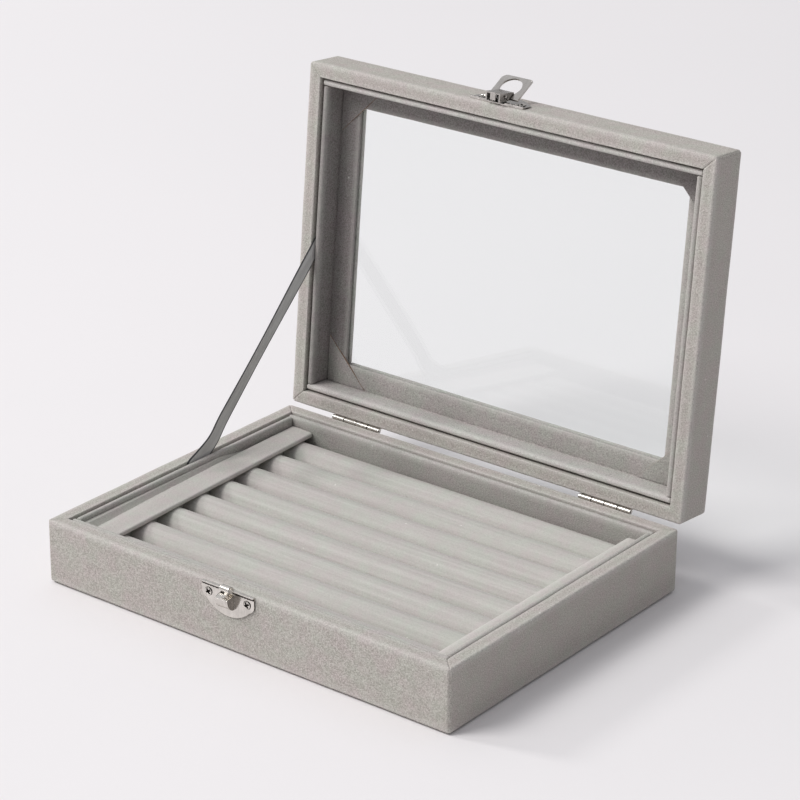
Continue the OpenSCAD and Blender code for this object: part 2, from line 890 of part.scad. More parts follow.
module stay_ribbon() {
    span = norm(ribbon_head - ribbon_foot);
    stops = concat([-ribbon_tail],
        [for (i = [0:ribbon_steps]) span * i / ribbon_steps], [span + ribbon_tail]);
    function turn_at(s) = s <= 0 || s >= span ? 0 : ribbon_roll * pow(sin(180 * s / span), 2);
    echo("free length of the ribbon", span, "cut length", span + 2 * ribbon_tail);
    color(ribbon_grey)
        polyhedron([for (s = stops) each ribbon_ring(s, turn_at(s))], sweep_faces(len(stops), 4));
}

// ---------- the assembly ----------

base_wall(FRONT);  // base_front_wall
base_wall(RIGHT);  // base_right_wall
base_wall(BACK);  // base_back_wall
base_wall(LEFT);  // base_left_wall
underside_sheet();
floor_panel();
floor_lining();
base_liner(FRONT);  // base_liner_front
base_liner(RIGHT);  // base_liner_right
base_liner(BACK);  // base_liner_back
base_liner(LEFT);  // base_liner_left
end_bar(left_bar_x, left_bar_w, left_bar_l, bar_skew);  // end_bar_left
end_bar(bar_x, bar_w, bar_l, 0);  // end_bar_right
ring_roll(1);  // ring_roll_1
ring_roll(2);  // ring_roll_2
ring_roll(3);  // ring_roll_3
ring_roll(4);  // ring_roll_4
ring_roll(5);  // ring_roll_5
ring_roll(6);  // ring_roll_6
ring_roll(7);  // ring_roll_7
ring_roll(8);  // ring_roll_8
catch_plate();
catch_screws();
base_leaf(-1);  // hinge_left_base_leaf
base_leaf(1);  // hinge_right_base_leaf
hinge_pin(-1);  // hinge_left_pin
hinge_pin(1);  // hinge_right_pin
hinge_base_screws();
stay_ribbon();
lid_wall(FRONT);  // lid_front_wall
lid_wall(RIGHT);  // lid_right_wall
lid_wall(BACK);  // lid_back_wall
lid_wall(LEFT);  // lid_left_wall
lid_border(FRONT);  // lid_border_front
lid_border(RIGHT);  // lid_border_right
lid_border(BACK);  // lid_border_back
lid_border(LEFT);  // lid_border_left
glass_pane();
glass_retainer(FRONT);  // glass_retainer_front
glass_retainer(RIGHT);  // glass_retainer_right
glass_retainer(BACK);  // glass_retainer_back
glass_retainer(LEFT);  // glass_retainer_left
gusset(-1, -1);  // gusset_front_left
gusset(1, -1);  // gusset_front_right
gusset(1, 1);  // gusset_back_right
gusset(-1, 1);  // gusset_back_left
lid_liner(FRONT);  // lid_liner_front
lid_liner(RIGHT);  // lid_liner_right
lid_liner(BACK);  // lid_liner_back
lid_liner(LEFT);  // lid_liner_left
lid_leaf(-1);  // hinge_left_lid_leaf
lid_leaf(1);  // hinge_right_lid_leaf
hinge_lid_screws();
lever_plate();
lever_plate_screws();
lever_pin();
lever_spring();
latch_lever();
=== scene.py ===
"""Looks of the ring display box: wrapped velvet boards, padded rolls, a glazed lid and bright nickel fittings."""

import json
import logging
import math
from dataclasses import dataclass, field
from enum import Enum
from typing import Callable, NamedTuple, Sequence

import bmesh
import bpy
from mathutils import Matrix, Vector, noise
from mathutils.bvhtree import BVHTree

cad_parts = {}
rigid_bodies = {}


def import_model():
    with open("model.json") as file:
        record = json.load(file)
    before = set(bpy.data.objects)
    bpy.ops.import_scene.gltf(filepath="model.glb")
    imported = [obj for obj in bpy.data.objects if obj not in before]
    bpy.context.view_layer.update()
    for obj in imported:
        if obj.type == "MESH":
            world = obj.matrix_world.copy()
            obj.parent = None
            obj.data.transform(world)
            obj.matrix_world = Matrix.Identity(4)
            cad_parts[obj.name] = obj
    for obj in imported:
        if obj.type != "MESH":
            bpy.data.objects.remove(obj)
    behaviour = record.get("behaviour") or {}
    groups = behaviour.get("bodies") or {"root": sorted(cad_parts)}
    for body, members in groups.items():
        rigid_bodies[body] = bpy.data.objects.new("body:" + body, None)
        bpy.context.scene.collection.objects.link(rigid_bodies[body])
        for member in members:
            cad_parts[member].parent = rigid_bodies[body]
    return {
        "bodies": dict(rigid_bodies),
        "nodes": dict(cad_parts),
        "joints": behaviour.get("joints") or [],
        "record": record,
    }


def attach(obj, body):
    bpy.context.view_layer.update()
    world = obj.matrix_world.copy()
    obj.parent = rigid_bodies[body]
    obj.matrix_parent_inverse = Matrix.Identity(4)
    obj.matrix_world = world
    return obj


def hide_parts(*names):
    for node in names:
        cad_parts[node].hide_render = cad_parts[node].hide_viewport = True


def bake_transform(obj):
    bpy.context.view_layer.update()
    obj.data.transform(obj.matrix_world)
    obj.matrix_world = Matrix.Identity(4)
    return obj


LOG = logging.getLogger("ring_box")
MM = 0.001
GOLDEN_ANGLE = 2.399963

Outline = list[tuple[float, float, float, float, float]]


class Side(Enum):
    """One side of the case: the way its board runs and the way to the middle of the case."""

    FRONT = ((1.0, 0.0), (0.0, 1.0))
    BACK = ((-1.0, 0.0), (0.0, -1.0))
    LEFT = ((0.0, -1.0), (1.0, 0.0))
    RIGHT = ((0.0, 1.0), (-1.0, 0.0))

    @property
    def along(self) -> Vector:
        """Direction of the board's length."""
        return Vector((*self.value[0], 0.0))

    @property
    def inward(self) -> Vector:
        """Direction from the outer face to the inside of the case."""
        return Vector((*self.value[1], 0.0))

    @property
    def lengthwise(self) -> bool:
        """True for the two long sides."""
        return self in (Side.FRONT, Side.BACK)


class EndCut(Enum):
    """How a board ends: mitred at 45 degrees, or cut square and softly rounded."""

    MITRE = "mitre"
    SQUARE = "square"


class Box(NamedTuple):
    """Lowest and highest corner of a piece."""

    lo: Vector
    hi: Vector

    @classmethod
    def around(cls, points: Sequence[Vector]) -> "Box":
        """Box round some points."""
        return cls(Vector(map(min, *points)), Vector(map(max, *points)))

    @property
    def size(self) -> Vector:
        """Width, depth and height."""
        return self.hi - self.lo

    @property
    def centre(self) -> Vector:
        """Middle of the box."""
        return (self.lo + self.hi) / 2


@dataclass
class CaseFrame:
    """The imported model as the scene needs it: its nodes, its hinge line and how far the lid is open."""

    nodes: dict[str, bpy.types.Object]
    pin: Vector
    open_angle: float

    @classmethod
    def read(cls, frame: dict) -> "CaseFrame":
        """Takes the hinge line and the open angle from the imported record.


        Returns:
            The frame of the case.
        """
        hinge = next(j for j in frame["joints"] if j["name"] == "lid_hinge")
        return cls(frame["nodes"], Vector(hinge["pos_m"]), math.radians(hinge["range_deg"][1]))

    def opened(self) -> Matrix:
        """Turn that takes a piece of the shut lid to its propped place."""
        there = Matrix.Translation(self.pin)
        return there @ Matrix.Rotation(-self.open_angle, 4, "X") @ there.inverted()

    def points(self, node: str, shut: bool) -> list[Vector]:
        """Points of a node, at rest or as they lie when the lid is shut."""
        turn = self.opened().inverted() if shut else Matrix.Identity(4)
        return [turn @ v.co for v in self.nodes[node].data.vertices]

    def box(self, node: str, shut: bool = False) -> Box:
        """Box of a node, at rest or as it lies when the lid is shut."""
        return Box.around(self.points(node, shut))

    def islands(self, node: str, shut: bool = False) -> list[Box]:
        """Box of each separate solid of a node, from left to right."""
        places = self.points(node, shut)
        work = bmesh.new()
        work.from_mesh(self.nodes[node].data)
        for vertex, place in zip(work.verts, places):
            vertex.co = place
        bmesh.ops.remove_doubles(work, verts=work.verts, dist=1e-6)
        found, seen = [], set()
        for vertex in work.verts:
            if vertex in seen:
                continue
            group, queue = [], [vertex]
            seen.add(vertex)
            while queue:
                one = queue.pop()
                group.append(one.co.copy())
                near = {edge.other_vert(one) for edge in one.link_edges} - seen
                seen |= near
                queue.extend(near)
            found.append(Box.around(group))
        work.free()
        return sorted(found, key=lambda box: box.lo.x)


# ---------- node trees ----------

class TreeWriter:
    """Adds and joins the nodes of one tree."""

    def __init__(self, tree: bpy.types.NodeTree) -> None:
        """Keeps the tree that is written."""
        self.tree = tree

    def add(self, kind: str, inputs: dict | None = None, **settings: object) -> bpy.types.Node:
        """Adds a node.

        Args:
            kind: Blender's name of the node type.
            inputs: value, or socket to join, for each named or numbered input.
            settings: the node's own settings.

        Returns:
            The new node.
        """
        node = self.tree.nodes.new(kind)
        for name, value in settings.items():
            setattr(node, name, value)
        for key, value in (inputs or {}).items():
            if isinstance(value, bpy.types.NodeSocket):
                self.tree.links.new(value, node.inputs[key])
            else:
                node.inputs[key].default_value = value
        return node

    def math(self, operation: str, *values: object) -> bpy.types.NodeSocket:
        """Result of one arithmetic step."""
        return self.add("ShaderNodeMath", dict(enumerate(values)), operation=operation).outputs[0]

    def noise(self, place: object, scale: float, detail: float = 2.0, rough: float = 0.5) -> bpy.types.NodeSocket:
        """Value of a noise of so many grains a metre."""
        return self.add("ShaderNodeTexNoise", {"Vector": place, "Scale": scale, "Detail": detail,
                                               "Roughness": rough}).outputs["Fac"]

    def stretched(self, place: object, scale: tuple[float, float, float]) -> bpy.types.NodeSocket:
        """A place scaled separately along each axis."""
        return self.add("ShaderNodeMapping", {"Vector": place, "Scale": scale}).outputs[0]

    def spread(self, value: object, low: float, high: float, to_low: float = 0.0,
               to_high: float = 1.0) -> bpy.types.NodeSocket:
        """Value taken from one range to another, clamped."""
        return self.add("ShaderNodeMapRange", {0: value, 1: low, 2: high, 3: to_low, 4: to_high}).outputs[0]

    def mix(self, amount: object, a: object, b: object) -> bpy.types.NodeSocket:
        """Mix of two colours."""
        node = self.add("ShaderNodeMix", data_type="RGBA")
        for key, value in ((0, amount), (6, a), (7, b)):
            if isinstance(value, bpy.types.NodeSocket):
                self.tree.links.new(value, node.inputs[key])
            else:
                node.inputs[key].default_value = value
        return node.outputs[2]


def shader_group(name: str, takes: Sequence[tuple[str, str, float]], gives: Sequence[str]) -> tuple[
        bpy.types.NodeTree, TreeWriter, bpy.types.Node, bpy.types.Node]:
    """Starts a shared shader node group.

    Args:
        name: the group's name.
        takes: name, socket type and standard value of each input.
        gives: name of each output, all of them plain numbers.

    Returns:
        The group, its writer, its input node and its output node.
    """
    tree = bpy.data.node_groups.new(name, "ShaderNodeTree")
    for title, kind, value in takes:
        socket = tree.interface.new_socket(title, in_out="INPUT", socket_type=kind)
        if kind == "NodeSocketFloat":
            socket.default_value = value
    for title in gives:
        tree.interface.new_socket(title, in_out="OUTPUT", socket_type="NodeSocketFloat")
    writer = TreeWriter(tree)
    return tree, writer, writer.add("NodeGroupInput"), writer.add("NodeGroupOutput")


class SharedGroups:
    """Shader groups for effects that several finishes share, each built once."""

    def __init__(self) -> None:
        """Builds every group."""
        self.nap = self._nap()
        self.wear = self._wear()
        self.lint = self._lint()
        self.weave = self._weave()
        self.rub = self._rub()

    @staticmethod
    def _nap() -> bpy.types.NodeTree:
        """Short pile of velvet: fine grain, brushed patches and broad clouds."""
        tree, w, given, out = shader_group(
            "velvet_nap",
            [("Place", "NodeSocketVector", 0.0), ("Grain Size", "NodeSocketFloat", 2100.0),
             ("Patch Size", "NodeSocketFloat", 1150.0), ("Cloud Size", "NodeSocketFloat", 70.0),
             ("Grain", "NodeSocketFloat", 0.5), ("Patch", "NodeSocketFloat", 0.3), ("Cloud", "NodeSocketFloat", 0.3)],
            ["Shade", "Height"])
        parts = []
        for size, amount, detail in (("Grain Size", "Grain", 2.0), ("Patch Size", "Patch", 3.0), ("Cloud Size", "Cloud", 2.0)):
            value = w.add("ShaderNodeTexNoise", {"Vector": given.outputs["Place"], "Scale": given.outputs[size],
                                                 "Detail": detail}).outputs["Fac"]
            centred = w.math("SUBTRACT", value, 0.5)
            parts.append(w.math("MULTIPLY", centred, given.outputs[amount]))
        total = w.math("ADD", w.math("ADD", parts[0], parts[1]), w.math("ADD", parts[2], 0.5))
        w.tree.links.new(total, out.inputs["Shade"])
        w.tree.links.new(w.math("ADD", w.math("MULTIPLY", parts[0], 0.7), parts[1]), out.inputs["Height"])
        return tree

    @staticmethod
    def _wear() -> bpy.types.NodeTree:
        """Pile rubbed pale along the folds, from the float attribute 'fold'."""
        tree, w, given, out = shader_group(
            "fold_wear", [("Place", "NodeSocketVector", 0.0), ("Amount", "NodeSocketFloat", 0.5)], ["Mask"])
        fold = w.add("ShaderNodeAttribute", attribute_name="fold").outputs["Fac"]
        broken = w.spread(w.noise(given.outputs["Place"], 380.0, 3.0), 0.3, 0.65, 0.7, 1.0)
        w.tree.links.new(w.math("MULTIPLY", w.math("MULTIPLY", fold, broken), given.outputs["Amount"]),
                         out.inputs["Mask"])
        return tree

    @staticmethod
    def _lint() -> bpy.types.NodeTree:
        """Sparse specks of lint and dust."""
        tree, w, given, out = shader_group(
            "lint_specks", [("Place", "NodeSocketVector", 0.0), ("Density", "NodeSocketFloat", 160.0),
                            ("Size", "NodeSocketFloat", 0.06)], ["Mask"])
        cell = w.add("ShaderNodeTexVoronoi", {"Vector": given.outputs["Place"], "Scale": given.outputs["Density"]})
        near = w.math("LESS_THAN", cell.outputs["Distance"], given.outputs["Size"])
        chosen = w.math("GREATER_THAN", w.noise(given.outputs["Place"], 95.0), 0.56)
        w.tree.links.new(w.math("MULTIPLY", near, chosen), out.inputs["Mask"])
        return tree

    @staticmethod
    def _weave() -> bpy.types.NodeTree:
        """Plain weave of the ribbon, from its own UV map in metres."""
        tree, w, given, out = shader_group(
            "ribbon_weave", [("Place", "NodeSocketVector", 0.0), ("Threads", "NodeSocketFloat", 2600.0)],
            ["Shade", "Height"])
        parts = w.add("ShaderNodeSeparateXYZ", {0: given.outputs["Place"]})
        across = w.math("SINE", w.math("MULTIPLY", parts.outputs[0], w.math("MULTIPLY", given.outputs["Threads"], 6.2832)))
        along = w.math("SINE", w.math("MULTIPLY", parts.outputs[1], w.math("MULTIPLY", given.outputs["Threads"], 6.2832)))
        cross = w.math("MULTIPLY", across, along)
        w.tree.links.new(w.math("MULTIPLY_ADD", cross, 0.25, 0.5), out.inputs["Shade"])
        w.tree.links.new(w.math("MULTIPLY_ADD", cross, 0.5, 0.5), out.inputs["Height"])
        return tree

    @staticmethod
    def _rub() -> bpy.types.NodeTree:
        """Fine rub marks and finger haze on plated metal and glass."""
        tree, w, given, out = shader_group(
            "rub_marks", [("Place", "NodeSocketVector", 0.0), ("Amount", "NodeSocketFloat", 0.5)], ["Haze", "Height"])
        lines = w.noise(w.stretched(given.outputs["Place"], (900.0, 60.0, 60.0)), 1.0, 3.0)
        cloud = w.noise(given.outputs["Place"], 240.0, 3.0)
        both = w.math("MULTIPLY", w.math("MULTIPLY_ADD", lines, 0.4, w.math("MULTIPLY", cloud, 0.6)),
                      given.outputs["Amount"])
        w.tree.links.new(both, out.inputs["Haze"])
        w.tree.links.new(lines, out.inputs["Height"])
        return tree


@dataclass(frozen=True)
class Finish:
    """A finish: its name, and the record's slot that it belongs to."""

    name: str
    slot: str

    def make(self, groups: SharedGroups) -> bpy.types.Material:
        """Builds the material.

        Args:
            groups: the shared shader groups.

        Returns:
            The material.
        """
        material = bpy.data.materials.new(self.name)
        material.use_nodes = True
        material.node_tree.nodes.clear()
        writer = TreeWriter(material.node_tree)
        surface = self.surface(writer, groups)
        writer.add("ShaderNodeOutputMaterial", {"Surface": surface})
        return material

    def surface(self, w: TreeWriter, groups: SharedGroups) -> bpy.types.NodeSocket:
        """Nodes of the surface; each finish has its own."""
        raise NotImplementedError

    @staticmethod
    def place(w: TreeWriter) -> bpy.types.NodeSocket:
        """Object coordinates, in metres."""
        return w.add("ShaderNodeTexCoord").outputs["Object"]

    @staticmethod
    def group(w: TreeWriter, tree: bpy.types.NodeTree, inputs: dict) -> bpy.types.Node:
        """Places a shared group."""
        node = w.add("ShaderNodeGroup", node_tree=tree)
        for key, value in inputs.items():
            if isinstance(value, bpy.types.NodeSocket):
                w.tree.links.new(value, node.inputs[key])
            else:
                node.inputs[key].default_value = value
        return node


@dataclass(frozen=True)
class Velvet(Finish):
    """Short-pile velvet: dark and light of the pile, how coarse it looks and how far it is brushed."""

    dark: tuple[float, float, float]
    light: tuple[float, float, float]
    worn: tuple[float, float, float]
    grain: float = 2.0
    patch: float = 0.35
    cloud: float = 0.16
    wear: float = 0.28
    bump: float = 0.4
    streak: float = 0.0
    sheen: float = 0.1
    tint_size: float = 130.0

    def surface(self, w: TreeWriter, groups: SharedGroups) -> bpy.types.NodeSocket:
        """Pile colour, rubbed folds, lint and a fine bump."""
        place = self.place(w)
        nap = self.group(w, groups.nap, {"Place": place, "Grain": self.grain, "Patch": self.patch, "Cloud": self.cloud})
        shade = nap.outputs["Shade"]
        if self.streak:
            line = w.noise(w.stretched(place, (14.0, 700.0, 700.0)), 1.0, 3.0)
            shade = w.math("ADD", shade, w.math("MULTIPLY", w.math("SUBTRACT", line, 0.5), self.streak))
        colour = w.mix(w.spread(shade, 0.1, 0.9), (*self.dark, 1.0), (*self.light, 1.0))
        wear = self.group(w, groups.wear, {"Place": place, "Amount": self.wear})
        colour = w.mix(wear.outputs["Mask"], colour, (*self.worn, 1.0))
        lean = w.spread(w.noise(place, self.tint_size, 3.0), 0.35, 0.65)
        tint = w.mix(lean, (1.0, 0.955, 0.965, 1.0), (0.975, 1.0, 0.965, 1.0))
        colour = w.add("ShaderNodeMix", {0: 1.0, 6: colour, 7: tint}, data_type="RGBA", blend_type="MULTIPLY").outputs[2]
        lint = self.group(w, groups.lint, {"Place": place})
        colour = w.mix(w.math("MULTIPLY", lint.outputs["Mask"], 0.5), colour, (0.82, 0.8, 0.78, 1.0))
        bump = w.add("ShaderNodeBump", {"Height": nap.outputs["Height"], "Strength": self.bump, "Distance": 0.0006})
        return w.add("ShaderNodeBsdfPrincipled", {
            "Base Color": colour, "Roughness": 0.95, "Normal": bump.outputs[0], "Specular IOR Level": 0.15,
            "Sheen Weight": self.sheen, "Sheen Roughness": 0.6, "Sheen Tint": (0.95, 0.93, 0.9, 1.0)}).outputs[0]


@dataclass(frozen=True)
class Plated(Finish):
    """Plated metal with rub marks, a little haze, and near-black painted shade where the attribute 'hollow' says that
    it is closed in or where the attribute 'recess' marks shade.
    """

    tint: tuple[float, float, float]
    dull: tuple[float, float, float]
    roughness: float
    # colour of the painted shade in hollows and recesses
    painted_shade: tuple[float, float, float] = (0.045, 0.04, 0.035)

    def surface(self, w: TreeWriter, groups: SharedGroups) -> bpy.types.NodeSocket:
        """Bright metal, hazier where it has been handled, with painted shade in its hollows and recesses."""
        place = self.place(w)
        rub = self.group(w, groups.rub, {"Place": place, "Amount": 1.0})
        haze = w.spread(rub.outputs["Haze"], 0.35, 0.7)
        colour = w.mix(haze, (*self.tint, 1.0), (*self.dull, 1.0))
        # painted shade: the colour darkens towards near-black where the pieces close each other in, and where shade is
        # marked
        hollow = w.spread(w.add("ShaderNodeAttribute", attribute_name="hollow").outputs["Fac"], 0.13, 0.4)
        hollow = w.math("MAXIMUM", hollow, w.add("ShaderNodeAttribute", attribute_name="recess").outputs["Fac"])
        colour = w.mix(hollow, colour, (*self.painted_shade, 1.0))
        bump = w.add("ShaderNodeBump", {"Height": rub.outputs["Height"], "Strength": 0.05, "Distance": 0.0002})
        return w.add("ShaderNodeBsdfPrincipled", {
            "Base Color": colour, "Metallic": 1.0, "Normal": bump.outputs[0],
            "Roughness": w.spread(haze, 0.0, 1.0, self.roughness, self.roughness + 0.14)}).outputs[0]


@dataclass(frozen=True)
class FloatGlass(Finish):
    """Clear float glass with a trace of finger haze."""

    def surface(self, w: TreeWriter, groups: SharedGroups) -> bpy.types.NodeSocket:
        """Glass that lets most of the light straight through to what lies behind it."""
        rub = self.group(w, groups.rub, {"Place": self.place(w), "Amount": 1.0})
        glass = w.add("ShaderNodeBsdfPrincipled", {
            "Base Color": (0.97, 0.99, 0.985, 1.0), "Metallic": 0.0, "Transmission Weight": 1.0, "IOR": 1.45,
            "Roughness": w.spread(rub.outputs["Haze"], 0.45, 0.8, 0.0, 0.03)})
        clear = w.add("ShaderNodeBsdfTransparent", {"Color": (0.97, 0.985, 0.98, 1.0)})
        ray = w.add("ShaderNodeLightPath").outputs
        through = w.math("MAXIMUM", ray["Is Shadow Ray"], ray["Is Diffuse Ray"])
        return w.add("ShaderNodeMixShader", {0: through, 1: glass.outputs[0], 2: clear.outputs[0]}).outputs[0]


@dataclass(frozen=True)
class WovenRibbon(Finish):
    """Grey satin ribbon with a fine weave and near-black edges."""

    dark: tuple[float, float, float] = (0.41, 0.405, 0.40)
    light: tuple[float, float, float] = (0.76, 0.75, 0.74)
    edge: tuple[float, float, float] = (0.06, 0.06, 0.065)
    half_width: float = 3.45 * MM

    def surface(self, w: TreeWriter, groups: SharedGroups) -> bpy.types.NodeSocket:
        """Weave from the ribbon's own map, with broader shading along its length."""
        uv = w.add("ShaderNodeUVMap", uv_map="ribbon").outputs[0]
        weave = self.group(w, groups.weave, {"Place": uv})
        broad = w.noise(w.stretched(uv, (500.0, 60.0, 1.0)), 1.0, 3.0)
        shade = w.math("MULTIPLY_ADD", w.math("SUBTRACT", broad, 0.5), 0.8, weave.outputs["Shade"])
        colour = w.mix(w.spread(shade, 0.1, 0.9), (*self.dark, 1.0), (*self.light, 1.0))
        aside = w.math("ABSOLUTE", w.add("ShaderNodeSeparateXYZ", {0: uv}).outputs[0])
        # near-black band along both edges of the ribbon
        edge_band = w.spread(aside, self.half_width - 0.75 * MM, self.half_width - 0.35 * MM)
        colour = w.mix(edge_band, colour, (*self.edge, 1.0))
        bump = w.add("ShaderNodeBump", {"Height": weave.outputs["Height"], "Strength": 0.3, "Distance": 0.0002})
        return w.add("ShaderNodeBsdfPrincipled", {
            "Base Color": colour, "Roughness": 0.55, "Normal": bump.outputs[0], "Sheen Weight": 0.2}).outputs[0]


@dataclass(frozen=True)
class Pressed(Finish):
    """Pressed sheet such as flocked paper or fibreboard: fibres of two colours."""

    dark: tuple[float, float, float]
    light: tuple[float, float, float]
    fibre: float = 900.0

    def surface(self, w: TreeWriter, groups: SharedGroups) -> bpy.types.NodeSocket:
        """Crossed fibres with a faint bump."""
        place = self.place(w)
        one = w.noise(w.stretched(place, (self.fibre, self.fibre / 6, self.fibre)), 1.0, 4.0)
        two = w.noise(w.stretched(place, (self.fibre / 6, self.fibre, self.fibre)), 1.0, 4.0)
        fibres = w.math("ADD", w.math("MULTIPLY", one, 0.5), w.math("MULTIPLY", two, 0.5))
        colour = w.mix(w.spread(fibres, 0.35, 0.65), (*self.dark, 1.0), (*self.light, 1.0))
        bump = w.add("ShaderNodeBump", {"Height": fibres, "Strength": 0.3, "Distance": 0.0003})
        return w.add("ShaderNodeBsdfPrincipled", {"Base Color": colour, "Roughness": 0.9,
                                                  "Normal": bump.outputs[0]}).outputs[0]


class Palette:
    """Every finish of the box, each made once."""

    WRAP = Velvet("wrap_velvet", "wrap_velvet", (0.355, 0.335, 0.31), (0.605, 0.583, 0.558), (0.73, 0.72, 0.705))
    # smoother copy of the wrap velvet, made lighter as painted light on the bar's top
    BAR = Velvet("bar_velvet", "wrap_velvet", (0.43, 0.415, 0.395), (0.645, 0.625, 0.605), (0.74, 0.73, 0.71),
                 grain=1.0, patch=0.25)
    LINER = Velvet("liner_velvet", "liner_velvet", (0.30, 0.288, 0.276), (0.52, 0.507, 0.49), (0.62, 0.61, 0.59),
                   wear=0.4)
    # lighter and darker copies of the liner velvet: painted light for strips that catch the light, painted shade for
    # strips in shade
    LINER_PALE = Velvet("liner_velvet_pale", "liner_velvet", (0.36, 0.347, 0.335), (0.63, 0.615, 0.6),
                        (0.70, 0.69, 0.67), wear=0.4)
    LINER_SHADED = Velvet("liner_velvet_shaded", "liner_velvet", (0.20, 0.187, 0.185), (0.37, 0.352, 0.348),
                          (0.58, 0.57, 0.55), wear=0.4)
    ROLL = Velvet("roll_velvet", "roll_velvet", (0.45, 0.44, 0.42), (0.59, 0.58, 0.56), (0.72, 0.71, 0.69),
                  grain=1.0, patch=0.25, streak=1.0, wear=0.3, bump=0.25)
    NICKEL = Plated("nickel", "nickel", (0.80, 0.768, 0.725), (0.60, 0.575, 0.54), 0.14)
    # darker copy of the nickel for the lever and its plate: painted shade and painted dark reflection
    LEVER = Plated("lever_nickel", "nickel", (0.58, 0.555, 0.53), (0.44, 0.42, 0.40), 0.2)
    WIRE = Plated("spring_wire", "spring_wire", (0.62, 0.62, 0.61), (0.42, 0.42, 0.41), 0.3)
    GLASS = FloatGlass("window_glass", "glass")
    RIBBON = WovenRibbon("stay_ribbon", "ribbon")
    PAPER = Pressed("underside_paper", "underside_paper", (0.36, 0.35, 0.335), (0.5, 0.49, 0.47))
    BOARD = Pressed("fibreboard", "fibreboard", (0.38, 0.28, 0.17), (0.6, 0.47, 0.32))
    # raw card's own brown, darkened further as painted shade for the shadow line along the gussets' cut edges
    CARD = Pressed("raw_card", "fibreboard", (0.22, 0.15, 0.11), (0.33, 0.24, 0.18), 1500.0)

    def __init__(self, groups: SharedGroups) -> None:
        """Keeps the shared groups."""
        self.groups = groups
        self.made: dict[str, bpy.types.Material] = {}

    def __getitem__(self, finish: Finish) -> bpy.types.Material:
        """The material of a finish, built at its first use."""
        if finish.name not in self.made:
            self.made[finish.name] = finish.make(self.groups)
        return self.made[finish.name]


# ---------- making pieces ----------

@dataclass
class Workshop:
    """Turns meshes into finished pieces: material, body and the CAD node that each stands for."""

    case: CaseFrame
    palette: Palette

    def piece(self, name: str, points: Sequence[Vector], faces: Sequence[Sequence[int]], finish: Finish,
              flat: Sequence[int] = (), values: dict[str, Sequence[float]] | None = None) -> bpy.types.Object:
        """Makes an object from points and faces.

        Args:
            name: name of the piece.
            points: its points, in the row frame.
            faces: its faces, as numbers of points.
            finish: its finish.
            flat: numbers of the faces that stay flat, such as cut ends.
            values: float attributes of the points, by name.

        Returns:
            The new object.
        """
        mesh = bpy.data.meshes.new(name)
        mesh.from_pydata([tuple(p) for p in points], [], [tuple(f) for f in faces])
        mesh.polygons.foreach_set("use_smooth", [True] * len(faces))
        for index in flat:
            mesh.polygons[index].use_smooth = False
        for title, numbers in (values or {}).items():
            mesh.attributes.new(title, "FLOAT", "POINT").data.foreach_set("value", list(numbers))
        mesh.materials.append(self.palette[finish])
        mesh.validate()
        thing = bpy.data.objects.new(name, mesh)
        bpy.context.scene.collection.objects.link(thing)
        return thing

    def fit(self, thing: bpy.types.Object, body: str, finish: Finish, *nodes: str) -> bpy.types.Object:
        """Puts a finished piece on its body in place of its CAD nodes.

        Args:
            thing: the piece.
            body: the CAD body that it rides on.
            finish: not used.
            nodes: the CAD nodes that it replaces.

        Returns:
            The piece.
        """
        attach(thing, body)
        if nodes:
            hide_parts(*nodes)
        LOG.info("%s rides on %s, stands for %s, %d faces", thing.name, body, ", ".join(nodes) or "nothing",
                 len(thing.data.polygons))
        return thing

    def dress(self, node: str, finish: Finish) -> None:
        """Gives a CAD node that stays its finish."""
        thing = self.case.nodes[node]
        thing.data.materials.clear()
        thing.data.materials.append(self.palette[finish])
        LOG.info("%s keeps its CAD mesh, in %s", node, finish.name)

    def copy(self, node: str, finish: Finish) -> bpy.types.Object:
        """Merged copy of a CAD node's mesh, with its flat faces joined up.

        Args:
            node: the CAD node.
            finish: the finish of the copy.

        Returns:
            The copy, as an object of its own.
        """
        work = bmesh.new()
        work.from_mesh(self.case.nodes[node].data)
        bmesh.ops.remove_doubles(work, verts=work.verts, dist=1e-6)
        bmesh.ops.dissolve_limit(work, angle_limit=math.radians(0.6), verts=work.verts, edges=work.edges)
        mesh = bpy.data.meshes.new(node + "_fine")
        work.to_mesh(mesh)
        work.free()
        mesh.materials.clear()
        mesh.materials.append(self.palette[finish])
        thing = bpy.data.objects.new(node + "_fine", mesh)
        bpy.context.scene.collection.objects.link(thing)
        return thing

    def metal(self, node: str, body: str, finish: Finish, edge: float, sharp: float = 32.0) -> bpy.types.Object:
        """Metal piece with rolled edges in place of its CAD node.

        Args:
            node: the CAD node.
            body: the body that it rides on.
            finish: its finish.
            edge: radius of its edges.
            sharp: angle in degrees from which an edge is rounded.

        Returns:
            The piece.
        """
        thing = self.copy(node, finish)
        thing.data.polygons.foreach_set("use_smooth", [True] * len(thing.data.polygons))
        bevel = thing.modifiers.new("rolled_edges", "BEVEL")
        bevel.width = edge
        bevel.segments = 2
        bevel.limit_method = "ANGLE"
        bevel.angle_limit = math.radians(sharp)
        bevel.use_clamp_overlap = True
        bevel.harden_normals = False
        self.apply(thing)
        thing.data.shade_smooth()
        thing.data.set_sharp_from_angle(angle=math.radians(38))
        return self.fit(thing, body, finish, node)

    @staticmethod
    def apply(thing: bpy.types.Object) -> None:
        """Makes the result of an object's modifiers its plain mesh."""
        graph = bpy.context.evaluated_depsgraph_get()
        mesh = bpy.data.meshes.new_from_object(thing.evaluated_get(graph))
        materials = list(thing.data.materials)
        thing.modifiers.clear()
        thing.data = mesh
        if not mesh.materials:
            for material in materials:
                mesh.materials.append(material)


def spaced(length: float, near: Sequence[float], step: float) -> list[float]:
    """Stations along a run, close together at both ends.

    Args:
        length: length of the run.
        near: distances from an end that get a station.
        step: usual distance between the others.

    Returns:
        Distances from the start, from 0 to the length.
    """
    ends = [d for d in near if d < length / 2 - step / 2]
    middle = length - 2 * ends[-1]
    count = max(2, round(middle / step))
    between = [ends[-1] + middle * i / count for i in range(1, count)]
    return ends + between + [length - d for d in reversed(ends)]


